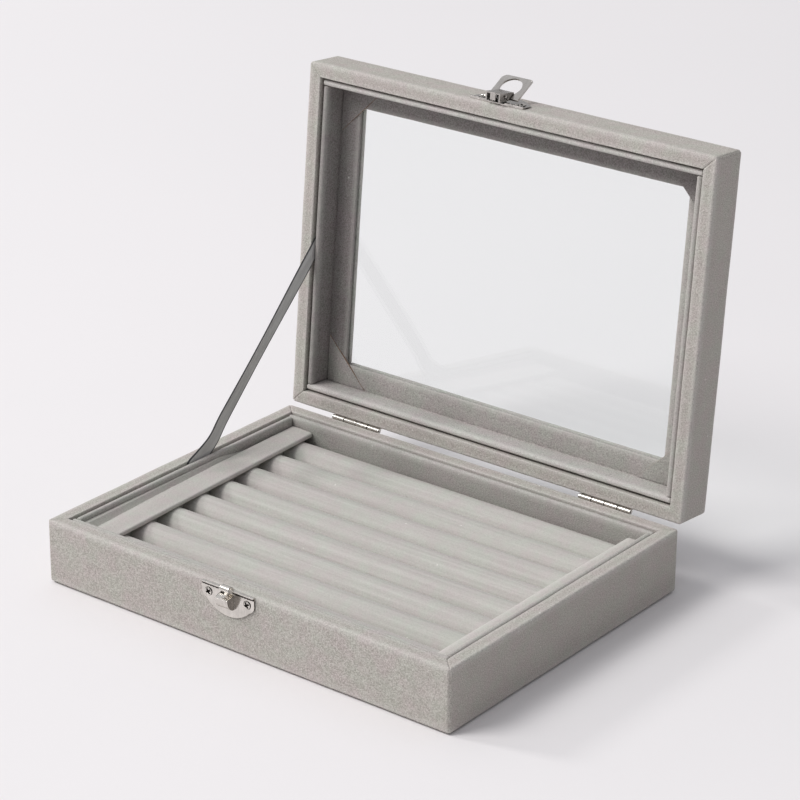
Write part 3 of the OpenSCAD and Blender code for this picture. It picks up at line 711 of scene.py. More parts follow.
def fold_outline(width: float, height: float, radii: Sequence[float], step: float) -> Outline:
    """Outline of a wrapped board's section, from its outer foot upwards and round.

    Args:
        width: from the outer face inwards.
        height: from the foot up.
        radii: fold radius at the outer foot, outer top, inner top and inner foot.
        step: longest distance between points on the flats.

    Returns:
        For each point its place inwards and upwards, its normal, and 1 on a fold falling to 0 away from it. At a
        sharp corner the normal points sideways, so that two boards meet there without a gap.
    """
    corners = [((0.0, 0.0), (1, 1), 180.0), ((0.0, height), (1, -1), 90.0),
               ((width, height), (-1, -1), 0.0), ((width, 0.0), (-1, 1), -90.0)]
    found: Outline = []
    arcs = []
    for (corner, way, end), radius in zip(corners, radii):
        r = max(radius, 0.02 * MM)
        steps = 2 if radius < 0.3 * MM else 6
        centre = (corner[0] + way[0] * r, corner[1] + way[1] * r)
        arc = []
        for i in range(steps + 1):
            a = math.radians(end + 90.0 - 90.0 * i / steps)
            folded = radius >= 0.3 * MM
            nu, nv = (math.cos(a), math.sin(a)) if folded else (-way[0], 0.0)
            arc.append((centre[0] + r * math.cos(a), centre[1] + r * math.sin(a), nu, nv, 1.0 if folded else 0.0))
        arcs.append(arc)
    fade = 1.6 * MM
    for index, arc in enumerate(arcs):
        found.extend(arc)
        after = arcs[(index + 1) % 4]
        a, b = arc[-1], after[0]
        gap = math.dist(a[:2], b[:2])
        count = max(1, math.ceil(gap / step))
        for i in range(1, count):
            f = i / count
            worn = max(a[4] * max(0.0, 1 - f * gap / fade), b[4] * max(0.0, 1 - (1 - f) * gap / fade))
            found.append((a[0] + (b[0] - a[0]) * f, a[1] + (b[1] - a[1]) * f, a[2] + (b[2] - a[2]) * f,
                          a[3] + (b[3] - a[3]) * f, worn))
    return found


def unevenness(place: Vector, coarse: float, fine: float) -> float:
    """How far wrapped cloth stands proud of a true face at one place.

    Args:
        place: the place, in metres.
        coarse: height of the long waves.
        fine: height of the short ones.

    Returns:
        The distance, in metres.
    """
    return coarse * noise.noise(place * 40.0) + fine * noise.noise(place * 165.0 + Vector((7.1, 3.3, 9.7)))


@dataclass
class WrappedBoard:
    """One board, strip of card or padded bar with cloth glued round it.

    Its own directions are along its run, inwards from its outer face, and up.
    """

    run: float
    width: float
    height: float
    folds: tuple[float, float, float, float]
    end: EndCut = EndCut.SQUARE
    corner: float = 0.0
    end_round: float = 0.5 * MM
    crown: float = 0.0
    belly: float = 0.0
    lean: float = 0.0
    ledge: tuple[float, float, float] | None = None
    coarse: float = 0.10 * MM
    fine: float = 0.05 * MM
    groove: float = 0.24 * MM
    step: float = 2.2 * MM

    def build(self, shop: Workshop, name: str, finish: Finish, place: Matrix,
              turn: Matrix | None = None) -> bpy.types.Object:
        """Makes the board.

        Args:
            shop: the workshop.
            name: name of the piece.
            finish: its finish.
            place: takes the board's own directions to the shut case.
            turn: takes the shut case to the row frame, for a piece of the lid.

        Returns:
            The board, as an object.
        """
        outline = fold_outline(self.width, self.height, self.folds, self.step)
        if self.ledge:
            outline = self._ledged(outline)
        near = [d * MM for d in (0.0, 0.22, 0.5, 0.9, 1.3, 1.8, 2.8, 4.3, 6.5)]
        half = self.run / 2
        points: list[Vector] = []
        worn: list[float] = []
        stations = spaced(self.run, near, 2.6 * MM)
        for station in stations:
            share = station / half - 1.0
            away = min(station, self.run - station)
            for u, v, nu, nv, fold in outline:
                u, v = self._crowned(u, v, nv, share)
                true = self._spot(share, u, v)
                rise = unevenness(place @ true, self.coarse, self.fine)
                rise -= self._drawn_in(away)
                points.append(self._spot(share, u + nu * rise, v + nv * rise))
                worn.append(fold)
        count = len(outline)
        rings = len(stations)
        faces = [(i * count + j, (i + 1) * count + j, (i + 1) * count + (j + 1) % count, i * count + (j + 1) % count)
                 for i in range(rings - 1) for j in range(count)]
        faces.append(tuple(range(count)))
        faces.append(tuple(reversed(range((rings - 1) * count, rings * count))))
        full = (turn or Matrix.Identity(4)) @ place
        return shop.piece(name, [full @ p for p in points], faces, finish,
                          flat=(len(faces) - 2, len(faces) - 1), values={"fold": worn})

    def _ledged(self, outline: Outline) -> Outline:
        """Sets the inner side back under a thin top board that reaches a little further inwards."""
        reach, thick, back = self.ledge
        side = sorted({v for u, v, nu, _, _ in outline if nu > 0.9 and u > self.width - 0.05 * MM}, reverse=True)
        under = (self.height - thick + 0.25 * MM, self.height - thick)
        changed = []
        for u, v, nu, nv, fold in outline:
            rank = side.index(v) if nu > 0.9 and v in side else -1
            if rank == 1:
                u, v = u + reach, under[0]
            elif rank == 2:
                u, v, nu, nv = u + reach - 0.2 * MM, under[1], 0.7, -0.7
            elif rank == 3:
                u, v, nu, nv = self.width - back, under[1] - 0.1 * MM, 0.0, -1.0
            elif v < under[1] - 0.2 * MM:
                u = min(u, self.width - back)
            else:
                u += reach * max(0.0, u / self.width)
            changed.append((u, v, nu, nv, fold))
        return changed

    def _crowned(self, u: float, v: float, nv: float, share: float) -> tuple[float, float]:
        """Pads the upper face up and the lower one down, and leans the upper face up towards the outside."""
        across = 2 * u / self.width - 1
        rise = nv * (self.crown if nv > 0 else self.belly) * (1 - across * across)
        leaning = self.lean * (1 - u / self.width) * (1 - 0.55 * share * share)
        return u, v + rise + leaning * v / self.height

    def _drawn_in(self, away: float) -> float:
        """How far the cloth is drawn in at a distance from the end: a seam's groove, or a rounded end."""
        if self.end is EndCut.MITRE:
            return self.groove * math.exp(-(away / (0.32 * MM)) ** 2)
        if away >= self.end_round:
            return 0.0
        return self.end_round - math.sqrt(self.end_round ** 2 - (self.end_round - away) ** 2)

    def _spot(self, share: float, u: float, v: float) -> Vector:
        """Place of a section point at a share of the half run, with the mitre and the rounded corner."""
        if self.end is EndCut.SQUARE:
            return Vector((share * self.run / 2, u, v))
        half = self.run / 2
        s = abs(share) * (half - u)
        r = self.corner
        a, b = s - (half - r), r - u
        if r and a > 0 and b > 0:
            a, b = (a * math.sqrt(max(0.0, 1 - b * b / (2 * r * r))), b * math.sqrt(max(0.0, 1 - a * a / (2 * r * r))))
            s, u = half - r + a, r - b
        return Vector((math.copysign(s, share), u, v))


def board_place(side: Side, reach: Vector, foot: float) -> Matrix:
    """Place of a board on one side of the case.

    Args:
        side: the side.
        reach: distances from the middle of the case to the outer faces, along X and Y.
        foot: height of its foot.

    Returns:
        The matrix from the board's own directions to the case.
    """
    outer = reach.y if side.lengthwise else reach.x
    origin = -side.inward * outer + Vector((0.0, 0.0, foot))
    columns = (side.along, side.inward, Vector((0.0, 0.0, 1.0)), origin)
    return Matrix([[c[i] for c in columns] for i in range(3)] + [[0.0, 0.0, 0.0, 1.0]])


# ---------- the case ----------

@dataclass
class CaseShell:
    """Walls, borders and liner strips of the base and the lid."""

    shop: Workshop
    width: float = 200 * MM
    depth: float = 150 * MM
    wall: float = 6 * MM
    fold: float = 1.0 * MM
    inner_fold: float = 0.45 * MM
    corner: float = 1.6 * MM
    liner_fold: float = 1.1 * MM
    border: float = 18.5 * MM

    def build(self) -> None:
        """Builds the boards of both halves."""
        for side in Side:
            self._wall("base", side)
            self._wall("lid", side)
            self._border(side)
            self._liner("base", side)
            self._liner("lid", side)
            self._retainer(side)

    def _node(self, pattern: str, side: Side) -> str:
        """Name of a side's node."""
        return pattern.format(side.name.lower())

    def _reach(self) -> Vector:
        """Distance from the middle to the outer faces."""
        return Vector((self.width / 2, self.depth / 2, 0.0))

    def _wall(self, half: str, side: Side) -> None:
        """A wall: its rim has round folds, and its corners are mitred and softly rounded."""
        node = self._node(half + "_{}_wall", side)
        box = self.shop.case.box(node, shut=half == "lid")
        if half == "base":
            folds = (1.4 * MM, self.fold, self.inner_fold, 0.0)
        else:
            folds = (self.fold, 0.0, 0.0, self.inner_fold)
        board = WrappedBoard(self.width if side.lengthwise else self.depth, self.wall, box.size.z, folds,
                             EndCut.MITRE, self.corner)
        turn = self.shop.case.opened() if half == "lid" else None
        thing = board.build(self.shop, node + "_cloth", Palette.WRAP, board_place(side, self._reach(), box.lo.z), turn)
        self.shop.fit(thing, half, Palette.WRAP, node)

    def _border(self, side: Side) -> None:
        """A border board of the lid's window frame."""
        node = self._node("lid_border_{}", side)
        box = self.shop.case.box(node, shut=True)
        board = WrappedBoard(self.width if side.lengthwise else self.depth, self.border, box.size.z,
                             (0.0, self.fold, 0.6 * MM, 0.6 * MM), EndCut.MITRE, self.corner)
        thing = board.build(self.shop, node + "_cloth", Palette.WRAP, board_place(side, self._reach(), box.lo.z),
                            self.shop.case.opened())
        self.shop.fit(thing, "lid", Palette.WRAP, node)

    def _liner(self, half: str, side: Side) -> None:
        """A card strip behind the rim, with a round fold at its free edge."""
        node = self._node(half + "_liner_{}", side)
        box = self.shop.case.box(node, shut=half == "lid")
        across = box.size.y if side.lengthwise else box.size.x
        run = box.size.x if side.lengthwise else box.size.y
        top = (0.0, self.liner_fold, self.liner_fold, 0.0)
        foot = (self.liner_fold, 0.0, 0.0, self.liner_fold)
        board = WrappedBoard(run, across, box.size.z, top if half == "base" else foot, EndCut.SQUARE,
                             end_round=0.4 * MM, coarse=0.08 * MM)
        reach = Vector((box.hi.x if side is not Side.LEFT else -box.lo.x,
                        box.hi.y if side is not Side.FRONT else -box.lo.y, 0.0))
        turn = self.shop.case.opened() if half == "lid" else None
        finish = Palette.LINER
        # the lid's front and back strips get painted light, its left strip painted shade
        if half == "lid":
            pale = side in (Side.BACK, Side.FRONT)
            finish = Palette.LINER_PALE if pale else Palette.LINER_SHADED if side is Side.LEFT else Palette.LINER
        thing = board.build(self.shop, node + "_cloth", finish, board_place(side, reach, box.lo.z), turn)
        self.shop.fit(thing, half, finish, node)

    def _retainer(self, side: Side) -> None:
        """A padded strip that holds the glass in."""
        node = self._node("glass_retainer_{}", side)
        box = self.shop.case.box(node, shut=True)
        whole = self.shop.case.box("glass_retainer_front", shut=True), self.shop.case.box("glass_retainer_left", shut=True)
        reach = Vector((whole[0].hi.x, whole[1].hi.y, 0.0))
        run = 2 * (reach.x if side.lengthwise else reach.y)
        width = box.size.y if side.lengthwise else box.size.x
        board = WrappedBoard(run, width, box.size.z, (0.5 * MM, 0.0, 0.0, 0.55 * MM), EndCut.MITRE,
                             belly=0.55 * MM)
        # painted shade on the front and left retainers
        finish = Palette.LINER_SHADED if side in (Side.FRONT, Side.LEFT) else Palette.LINER
        thing = board.build(self.shop, node + "_cloth", finish, board_place(side, reach, box.lo.z),
                            self.shop.case.opened())
        self.shop.fit(thing, "lid", finish, node)


@dataclass
class Gussets:
    """Corner triangles of covered card that brace the lid's walls."""

    shop: Workshop

    def build(self) -> None:
        """Builds the four triangles from their CAD nodes."""
        turn = self.shop.case.opened().to_3x3()
        for back in (1, -1):
            for right in (1, -1):
                node = "gusset_" + ("back_" if back > 0 else "front_") + ("right" if right > 0 else "left")
                # painted shade on the two front gussets
                finish = Palette.LINER if back > 0 else Palette.LINER_SHADED
                thing = self.shop.metal(node, "lid", finish, 0.22 * MM, 20.0)
                self._bare_edge(thing, turn @ Vector((-right, -back, 0.0)).normalized())

    def _bare_edge(self, thing: bpy.types.Object, way: Vector) -> None:
        """Leaves the cut edge of the card bare where it faces one way; its raw card finish is darkened there as painted
        shade.
        """
        thing.data.materials.append(self.shop.palette[Palette.CARD])
        for face in thing.data.polygons:
            if face.normal.dot(way) > 0.9:
                face.material_index = 1


@dataclass
class RollBed:
    """Eight velvet sleeves over foam rod, held between two end bars."""

    shop: Workshop
    count: int = 8
    end_round: float = 0.3 * MM
    around: int = 44
    skew: float = math.radians(1.75)
    left_width: float = 9.6 * MM
    ledge: tuple[float, float, float] = (1.3 * MM, 1.9 * MM, 3.2 * MM)
    flap: tuple[tuple[float, float, float], ...] = (
        (0.79, 0.34, 20.4 * MM), (0.67, 0.52, 24.7 * MM), (0.55, 1.0, 25.1 * MM))

    def build(self) -> None:
        """Builds the rolls and both bars."""
        rolls = [self._roll(i + 1) for i in range(self.count)]
        FoamFilling().swell(rolls)
        for index, roll in enumerate(rolls):
            self.shop.fit(roll, "base", Palette.ROLL, f"ring_roll_{index + 1}")
        self._bar("end_bar_left", self.skew, self.left_width, 0.6 * MM, 0.7 * MM, 0.2 * MM, 1.0 * MM)
        self._bar("end_bar_right", 0.0, None, 2.4 * MM, 2.0 * MM, 0.35 * MM, 0.0)

    def _roll(self, index: int) -> bpy.types.Object:
        """One roll, its left end cut to the slant of the left bar."""
        node = f"ring_roll_{index}"
        box = self.shop.case.box(node)
        radius = box.size.y / 2
        floor = box.lo.z
        axis_y = box.centre.y
        axis_z = box.hi.z - radius
        points: list[Vector] = []
        worn: list[float] = []
        length = box.size.x
        near = [d * MM for d in (0.0, 0.12, 0.35, 0.7, 1.2, 1.9, 3.0, 4.5)]
        stations = spaced(length, near, 2.4 * MM)
        for station in stations:
            away = min(station, length - station)
            shrink = 0.0
            if away < self.end_round:
                shrink = self.end_round - math.sqrt(self.end_round ** 2 - (self.end_round - away) ** 2)
            for j in range(self.around):
                a = 2 * math.pi * j / self.around
                y, z = axis_y - radius * math.sin(a), axis_z + radius * math.cos(a)
                start = box.lo.x - (y - (axis_y - radius)) * math.tan(self.skew) - self.ledge[2]
                x = start + (box.hi.x - start) * station / length
                rise = unevenness(Vector((x * 0.35, y, z)), 0.07 * MM, 0.03 * MM) - 0.12 * MM - shrink
                y -= rise * math.sin(a)
                z = max(floor, z + rise * math.cos(a))
                points.append(Vector((x, y, z)))
                worn.append(0.0)
        rings = len(stations)
        n = self.around
        faces = [(i * n + j, i * n + (j + 1) % n, (i + 1) * n + (j + 1) % n, (i + 1) * n + j)
                 for i in range(rings - 1) for j in range(n)]
        faces.append(tuple(reversed(range(n))))
        faces.append(tuple(range((rings - 1) * n, rings * n)))
        return self.shop.piece(f"roll_sleeve_{index}", points, faces, Palette.ROLL, values={"fold": worn})

    def _bar(self, node: str, skew: float, width: float | None, fold: float, end: float, crown: float,
             lean: float) -> None:
        """An end bar: a covered strip of board.

        Args:
            node: its CAD node.
            skew: how far it is turned.
            width: its own width where it is turned, or None for the width of its box.
            fold: radius of its upper folds.
            end: radius of its ends.
            crown: how far its top is padded up.
            lean: how far its outer edge is drawn up.
        """
        box = self.shop.case.box(node)
        length = (box.size.y - (width or box.size.x) * math.sin(skew)) / math.cos(skew)
        board = WrappedBoard(length, width or box.size.x, box.size.z, (0.3 * MM, fold, fold, 0.3 * MM),
                             EndCut.SQUARE, end_round=end, crown=crown, lean=lean, ledge=self.ledge if skew else None,
                             coarse=0.16 * MM, fine=0.06 * MM)
        middle = Matrix.Translation((box.centre.x, 0.0, box.lo.z)) @ Matrix.Rotation(skew, 4, "Z")
        side = Side.LEFT if box.centre.x < 0 else Side.RIGHT
        place = middle @ board_place(side, Vector((board.width / 2, 0.0, 0.0)), 0.0)
        thing = board.build(self.shop, node + "_cloth", Palette.BAR, place)
        if skew:
            self._fill_wedge(thing, board, place)
        self.shop.fit(thing, "base", Palette.BAR, node)

    def _fill_wedge(self, thing: bpy.types.Object, board: WrappedBoard, place: Matrix) -> None:
        """Lets the spare cloth of a skewed bar rise as a flap between its outer side and the liner."""
        liner = self.shop.case.box("base_liner_left").hi.x + 0.05 * MM
        back = place.inverted()
        for vertex in thing.data.vertices:
            share, u, v = back @ vertex.co
            share /= board.run / 2
            top = board.height + board.lean * (1 - 0.55 * share * share)
            if u > 0.6 * MM or v > 0.9 * top:
                continue
            gap = max(0.0, vertex.co.x - liner)
            open_share = min(1.0, gap / (1.5 * MM))
            reach, level = next(((r, z) for low, r, z in self.flap if v > low * top), (1.0, None))
            vertex.co.x -= gap * reach
            if level is not None:
                vertex.co.z += (level - vertex.co.z) * open_share


@dataclass
class FoamFilling:
    """Cloth simulation that lets the foam press the sleeves out."""

    frames: int = 20
    pressure: float = 4.0
    most: float = 0.32 * MM

    def swell(self, rolls: Sequence[bpy.types.Object]) -> None:
        """Swells every sleeve in one simulation and keeps each within its place.

        Args:
            rolls: the sleeves; their meshes are changed.
        """
        scene = bpy.context.scene
        rest = [[v.co.copy() for v in roll.data.vertices] for roll in rolls]
        for roll in rolls:
            cloth = roll.modifiers.new("foam", "CLOTH")
            settings = cloth.settings
            settings.quality = 4
            settings.use_pressure = True
            settings.uniform_pressure_force = self.pressure
            settings.effector_weights.gravity = 0.0
            settings.tension_stiffness = 12.0
            settings.bending_stiffness = 0.6
            settings.shrink_min = -0.02
            cloth.collision_settings.use_collision = False
            cloth.point_cache.frame_start = 1
            cloth.point_cache.frame_end = self.frames
        for frame in range(1, self.frames + 1):
            scene.frame_set(frame)
        graph = bpy.context.evaluated_depsgraph_get()
        for roll, before in zip(rolls, rest):
            swollen = [v.co.copy() for v in roll.evaluated_get(graph).data.vertices]
            roll.modifiers.clear()
            self._settle(roll, before, swollen)
        scene.frame_set(1)

    def _settle(self, roll: bpy.types.Object, rest: Sequence[Vector], swollen: Sequence[Vector]) -> None:
        """Takes over the swollen points, with a cap on how far each moves."""
        floor = min(point.z for point in rest)
        moved = 0.0
        for vertex, start, end in zip(roll.data.vertices, rest, swollen):
            step = end - start
            step.x *= 0.2
            if step.length > self.most:
                step *= self.most / step.length
            moved = max(moved, step.length)
            spot = start + step
            vertex.co = (spot.x, spot.y, max(floor, spot.z))
        LOG.info("%s swelled by up to %.2f mm", roll.name, moved / MM)


@dataclass
class LiningSheets:
    """Flat sheets of the base, and the glass: CAD meshes that stay."""

    shop: Workshop

    def build(self) -> None:
        """Dresses the nodes."""
        self.shop.dress("underside_sheet", Palette.PAPER)
        self.shop.dress("floor_panel", Palette.BOARD)
        self.shop.dress("floor_lining", Palette.LINER)
        self.shop.dress("glass_pane", Palette.GLASS)


@dataclass
class RibbonStay:
    """Ribbon from the left wall of the base to the left wall of the lid; it keeps the lid from falling back."""

    shop: Workshop
    line_x: float = -93.6 * MM
    foot: tuple[float, float] = (11.5 * MM, 27.5 * MM)
    run_on_lid: float = 68.0 * MM
    rim_gap: float = 0.3 * MM
    width: float = 6.9 * MM
    thickness: float = 0.4 * MM
    tail: float = 8.0 * MM
    roll: float = math.radians(8)
    flare: float = 3.5 * MM
    flare_run: tuple[float, float] = (-6.0 * MM, 10.0 * MM)
    bow: float = 0.8 * MM
    steps: int = 150
    across: int = 14

    def build(self) -> None:
        """Builds the band between base and lid, in the lid's open place."""
        pin = self.shop.case.pin
        a = self.shop.case.open_angle
        foot = Vector((self.line_x, *self.foot))
        head = Vector((self.line_x, pin.y + self.run_on_lid * math.cos(math.pi - a) + self.rim_gap / 2 * math.sin(a),
                       pin.z + self.run_on_lid * math.sin(a)))
        way = (head - foot)
        span = way.length
        way.normalize()
        flat = Vector((0.0, -way.z, way.y))
        side = Vector((1.0, 0.0, 0.0))
        points: list[Vector] = []
        maps: list[tuple[float, float]] = []
        count = 2 * (self.across + 1)
        for i in range(self.steps + 1):
            s = -self.tail + (span + 2 * self.tail) * i / self.steps
            f = min(1.0, max(0.0, s / span))
            turn = self.roll * math.sin(math.pi * f) ** 2
            wide = flat * math.cos(turn) + side * math.sin(turn)
            thick = side * math.cos(turn) - flat * math.sin(turn)
            centre = foot + way * s
            ring = [(k / self.across - 0.5, -0.5) for k in range(self.across + 1)]
            ring += [(0.5 - k / self.across, 0.5) for k in range(self.across + 1)]
            low, high = self.flare_run
            spread = self.flare * max(0.0, 1 - (max(low, s) - low) / (high - low)) ** 2
            centre -= flat * self.bow * math.exp(-((s - 8 * MM) / (6 * MM)) ** 2)
            for u, t in ring:
                cup = 0.25 * MM * (4 * u * u - 0.5) * math.sin(math.pi * f)
                edge = 0.6 if abs(u) == 0.5 else 1.0
                out = u * self.width + spread * (u + 0.5)
                points.append(centre + wide * out + thick * (t * self.thickness * edge + cup))
                maps.append((u * self.width, s))
        faces = [(i * count + j, i * count + (j + 1) % count, (i + 1) * count + (j + 1) % count, (i + 1) * count + j)
                 for i in range(self.steps) for j in range(count)]
        faces += [tuple(reversed(range(count))), tuple(range(self.steps * count, (self.steps + 1) * count))]
        thing = self.shop.piece("ribbon_band", points, faces, Palette.RIBBON)
        self._recalculate(thing)
        layer = thing.data.uv_layers.new(name="ribbon")
        for loop in thing.data.loops:
            layer.data[loop.index].uv = maps[loop.vertex_index]
        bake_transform(thing)
        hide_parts("stay_ribbon")
        LOG.info("%s bends between base and lid", thing.name)

    @staticmethod
    def _recalculate(thing: bpy.types.Object) -> None:
        """Turns the faces of a closed piece outwards."""
        work = bmesh.new()
        work.from_mesh(thing.data)
        bmesh.ops.recalc_face_normals(work, faces=work.faces)
        work.to_mesh(thing.data)
        work.free()


class GeometryTree(TreeWriter):
    """A Geometry Nodes tree with named inputs, run once on an object and made its plain mesh."""

    def __init__(self, name: str, takes: Sequence[tuple[str, str]]) -> None:
        """Starts the tree.

        Args:
            name: its name.
            takes: name and socket type of each input besides the geometry.
        """
        super().__init__(bpy.data.node_groups.new(name, "GeometryNodeTree"))
        self.tree.interface.new_socket("Geometry", in_out="INPUT", socket_type="NodeSocketGeometry")
        self.sockets = {title: self.tree.interface.new_socket(title, in_out="INPUT", socket_type=kind).identifier
                        for title, kind in takes}
        self.tree.interface.new_socket("Geometry", in_out="OUTPUT", socket_type="NodeSocketGeometry")
        self.given = self.add("NodeGroupInput").outputs

    def close(self, geometry: bpy.types.NodeSocket) -> None:
        """Ends the tree: real geometry, in the finish that it is given."""
        real = self.add("GeometryNodeRealizeInstances", {0: geometry}).outputs[0]
        dressed = self.add("GeometryNodeSetMaterial", {"Geometry": real, "Material": self.given["Finish"]}).outputs[0]
        self.add("NodeGroupOutput", {"Geometry": dressed})

    def run(self, thing: bpy.types.Object, values: dict[str, object]) -> None:
        """Runs the tree on an object and keeps the result as its mesh.

        Args:
            thing: the object.
            values: value of each named input.
        """
        modifier = thing.modifiers.new(self.tree.name, "NODES")
        modifier.node_group = self.tree
        for title, value in values.items():
            modifier[self.sockets[title]] = value
        mesh = bpy.data.meshes.new_from_object(thing.evaluated_get(bpy.context.evaluated_depsgraph_get()))
        thing.modifiers.clear()
        thing.data = mesh


@dataclass
class ScrewHeads:
    """Domed screws with a cross recess: one screw, set on every screw place by Geometry Nodes."""

    shop: Workshop
    radius: float = 1.7 * MM
    dome: float = 0.52 * MM
    seat: float = 0.4 * MM
    rim: float = 0.12 * MM
    shank: float = 0.9 * MM
    length: float = 3.4 * MM
    arm: float = 1.3 * MM
    arm_half: float = 0.34 * MM
    slope: float = 0.1 * MM
    sink: float = 0.7 * MM
    rings: int = 18
    spokes: int = 56
    seed: int = 5

    def build(self) -> list[bpy.types.Object]:
        """Builds the screws of the hinges and the latch."""
        model = self._screw()
        tree = self._tree()
        sets = [self._set(tree, model, node, body, way) for node, body, way in (
            ("hinge_base_screws", "base", 1.0), ("hinge_lid_screws", "lid", 1.0),
            ("catch_screws", "base", -1.0), ("lever_plate_screws", "lid", -1.0))]
        bpy.data.objects.remove(model)
        return sets

    def _recess(self, x: float, y: float) -> float:
        """Depth of the cross recess at one place of the head."""
        deep = 0.0
        for along, across in ((abs(x), abs(y)), (abs(y), abs(x))):
            side = min(1.0, max(0.0, (self.arm_half + self.slope - across) / self.slope))
            end = min(1.0, max(0.0, (self.arm - along) / (self.arm * 0.3)))
            deep = max(deep, side * end)
        return self.sink * deep

    def _screw(self) -> bpy.types.Object:
        """One screw: a dome with its recess, a thin rim, a flat underside and a shank, with painted shade in the recess
        and a painted shadow ring round the rim.
        """
        points = [Vector((0.0, 0.0, self.dome - self._recess(0.0, 0.0)))]
        recess_shade = [1.0]
        levels = [(self.radius * k / self.rings, None) for k in range(1, self.rings + 1)]
        levels += [(self.radius, 0.0), (self.shank, 0.0), (self.shank, -self.length * 0.8), (0.15 * MM, -self.length)]
        for r, z in levels:
            for j in range(self.spokes):
                a = 2 * math.pi * j / self.spokes
                x, y = r * math.cos(a), r * math.sin(a)
                top = self.rim + (self.dome - self.rim) * math.sqrt(max(0.0, 1 - (r / self.radius) ** 2.6))
                points.append(Vector((x, y, top - self._recess(x, y) if z is None else z)))
                # painted shade: the cross goes dark with its depth, and a ring of painted shadow runs round the rim of
                # the head
                recess_shade.append(max(min(1.0, 3 * self._recess(x, y) / self.sink), 0.9 if r > 0.93 * self.radius else 0.0))
        n = self.spokes
        faces: list[tuple[int, ...]] = [(0, 1 + j, 1 + (j + 1) % n) for j in range(n)]
        for k in range(len(levels) - 1):
            a = 1 + k * n
            faces += [(a + j, a + n + j, a + n + (j + 1) % n, a + (j + 1) % n) for j in range(n)]
        faces.append(tuple(reversed(range(1 + (len(levels) - 1) * n, 1 + len(levels) * n))))
        thing = self.shop.piece("screw_model", points, faces, Palette.NICKEL, values={"recess": recess_shade})
        thing.data.set_sharp_from_angle(angle=math.radians(42))
        return thing

    @staticmethod
    def _tree() -> GeometryTree:
        """Sets the screw on each point, along the point's own direction, turned by chance."""
        w = GeometryTree("screw_setting", [("Screw", "NodeSocketObject"), ("Seed", "NodeSocketInt"),
                                           ("Finish", "NodeSocketMaterial")])
        screw = w.add("GeometryNodeObjectInfo", {"Object": w.given["Screw"]}).outputs["Geometry"]
        way = w.add("GeometryNodeInputNamedAttribute", {"Name": "way"}, data_type="FLOAT_VECTOR").outputs["Attribute"]
        upright = w.add("FunctionNodeAlignRotationToVector", {"Vector": way}, axis="Z").outputs[0]
        chance = w.add("FunctionNodeRandomValue", {"Seed": w.given["Seed"]}, data_type="FLOAT")
        chance.inputs[2].default_value, chance.inputs[3].default_value = 0.0, math.tau
        spin = w.add("FunctionNodeAxisAngleToRotation", {"Axis": (0.0, 0.0, 1.0), "Angle": chance.outputs[1]}).outputs[0]
        turned = w.add("FunctionNodeRotateRotation", {0: upright, 1: spin}, rotation_space="LOCAL").outputs[0]
        w.close(w.add("GeometryNodeInstanceOnPoints", {"Points": w.given["Geometry"], "Instance": screw,
                                                       "Rotation": turned}).outputs[0])
        return w

    def _set(self, tree: GeometryTree, model: bpy.types.Object, node: str, body: str, way: float) -> bpy.types.Object:
        """Puts screws in place of one CAD node.

        Args:
            tree: the tree that sets them.
            model: the screw.
            node: the CAD node.
            body: the body that they ride on.
            way: 1 where they point back, -1 where they point to the front, with the lid shut.

        Returns:
            The screws, as one piece.
        """
        turn = self.shop.case.opened() if body == "lid" else Matrix.Identity(4)
        out = Vector((0.0, way, 0.0))
        places = []
        for box in self.shop.case.islands(node, shut=body == "lid"):
            tip = box.hi.y if way > 0 else box.lo.y
            places.append(turn @ Vector((box.centre.x, tip - way * self.seat, box.centre.z)))
        mesh = bpy.data.meshes.new(node)
        mesh.from_pydata([tuple(p) for p in places], [], [])
        mesh.attributes.new("way", "FLOAT_VECTOR", "POINT").data.foreach_set(
            "vector", [c for _ in places for c in turn.to_3x3() @ out])
        thing = bpy.data.objects.new(node + "_domed", mesh)
        bpy.context.scene.collection.objects.link(thing)
        tree.run(thing, {"Screw": model, "Seed": self.seed + len(node), "Finish": self.shop.palette[Palette.NICKEL]})
        return self.shop.fit(thing, body, Palette.NICKEL, node)


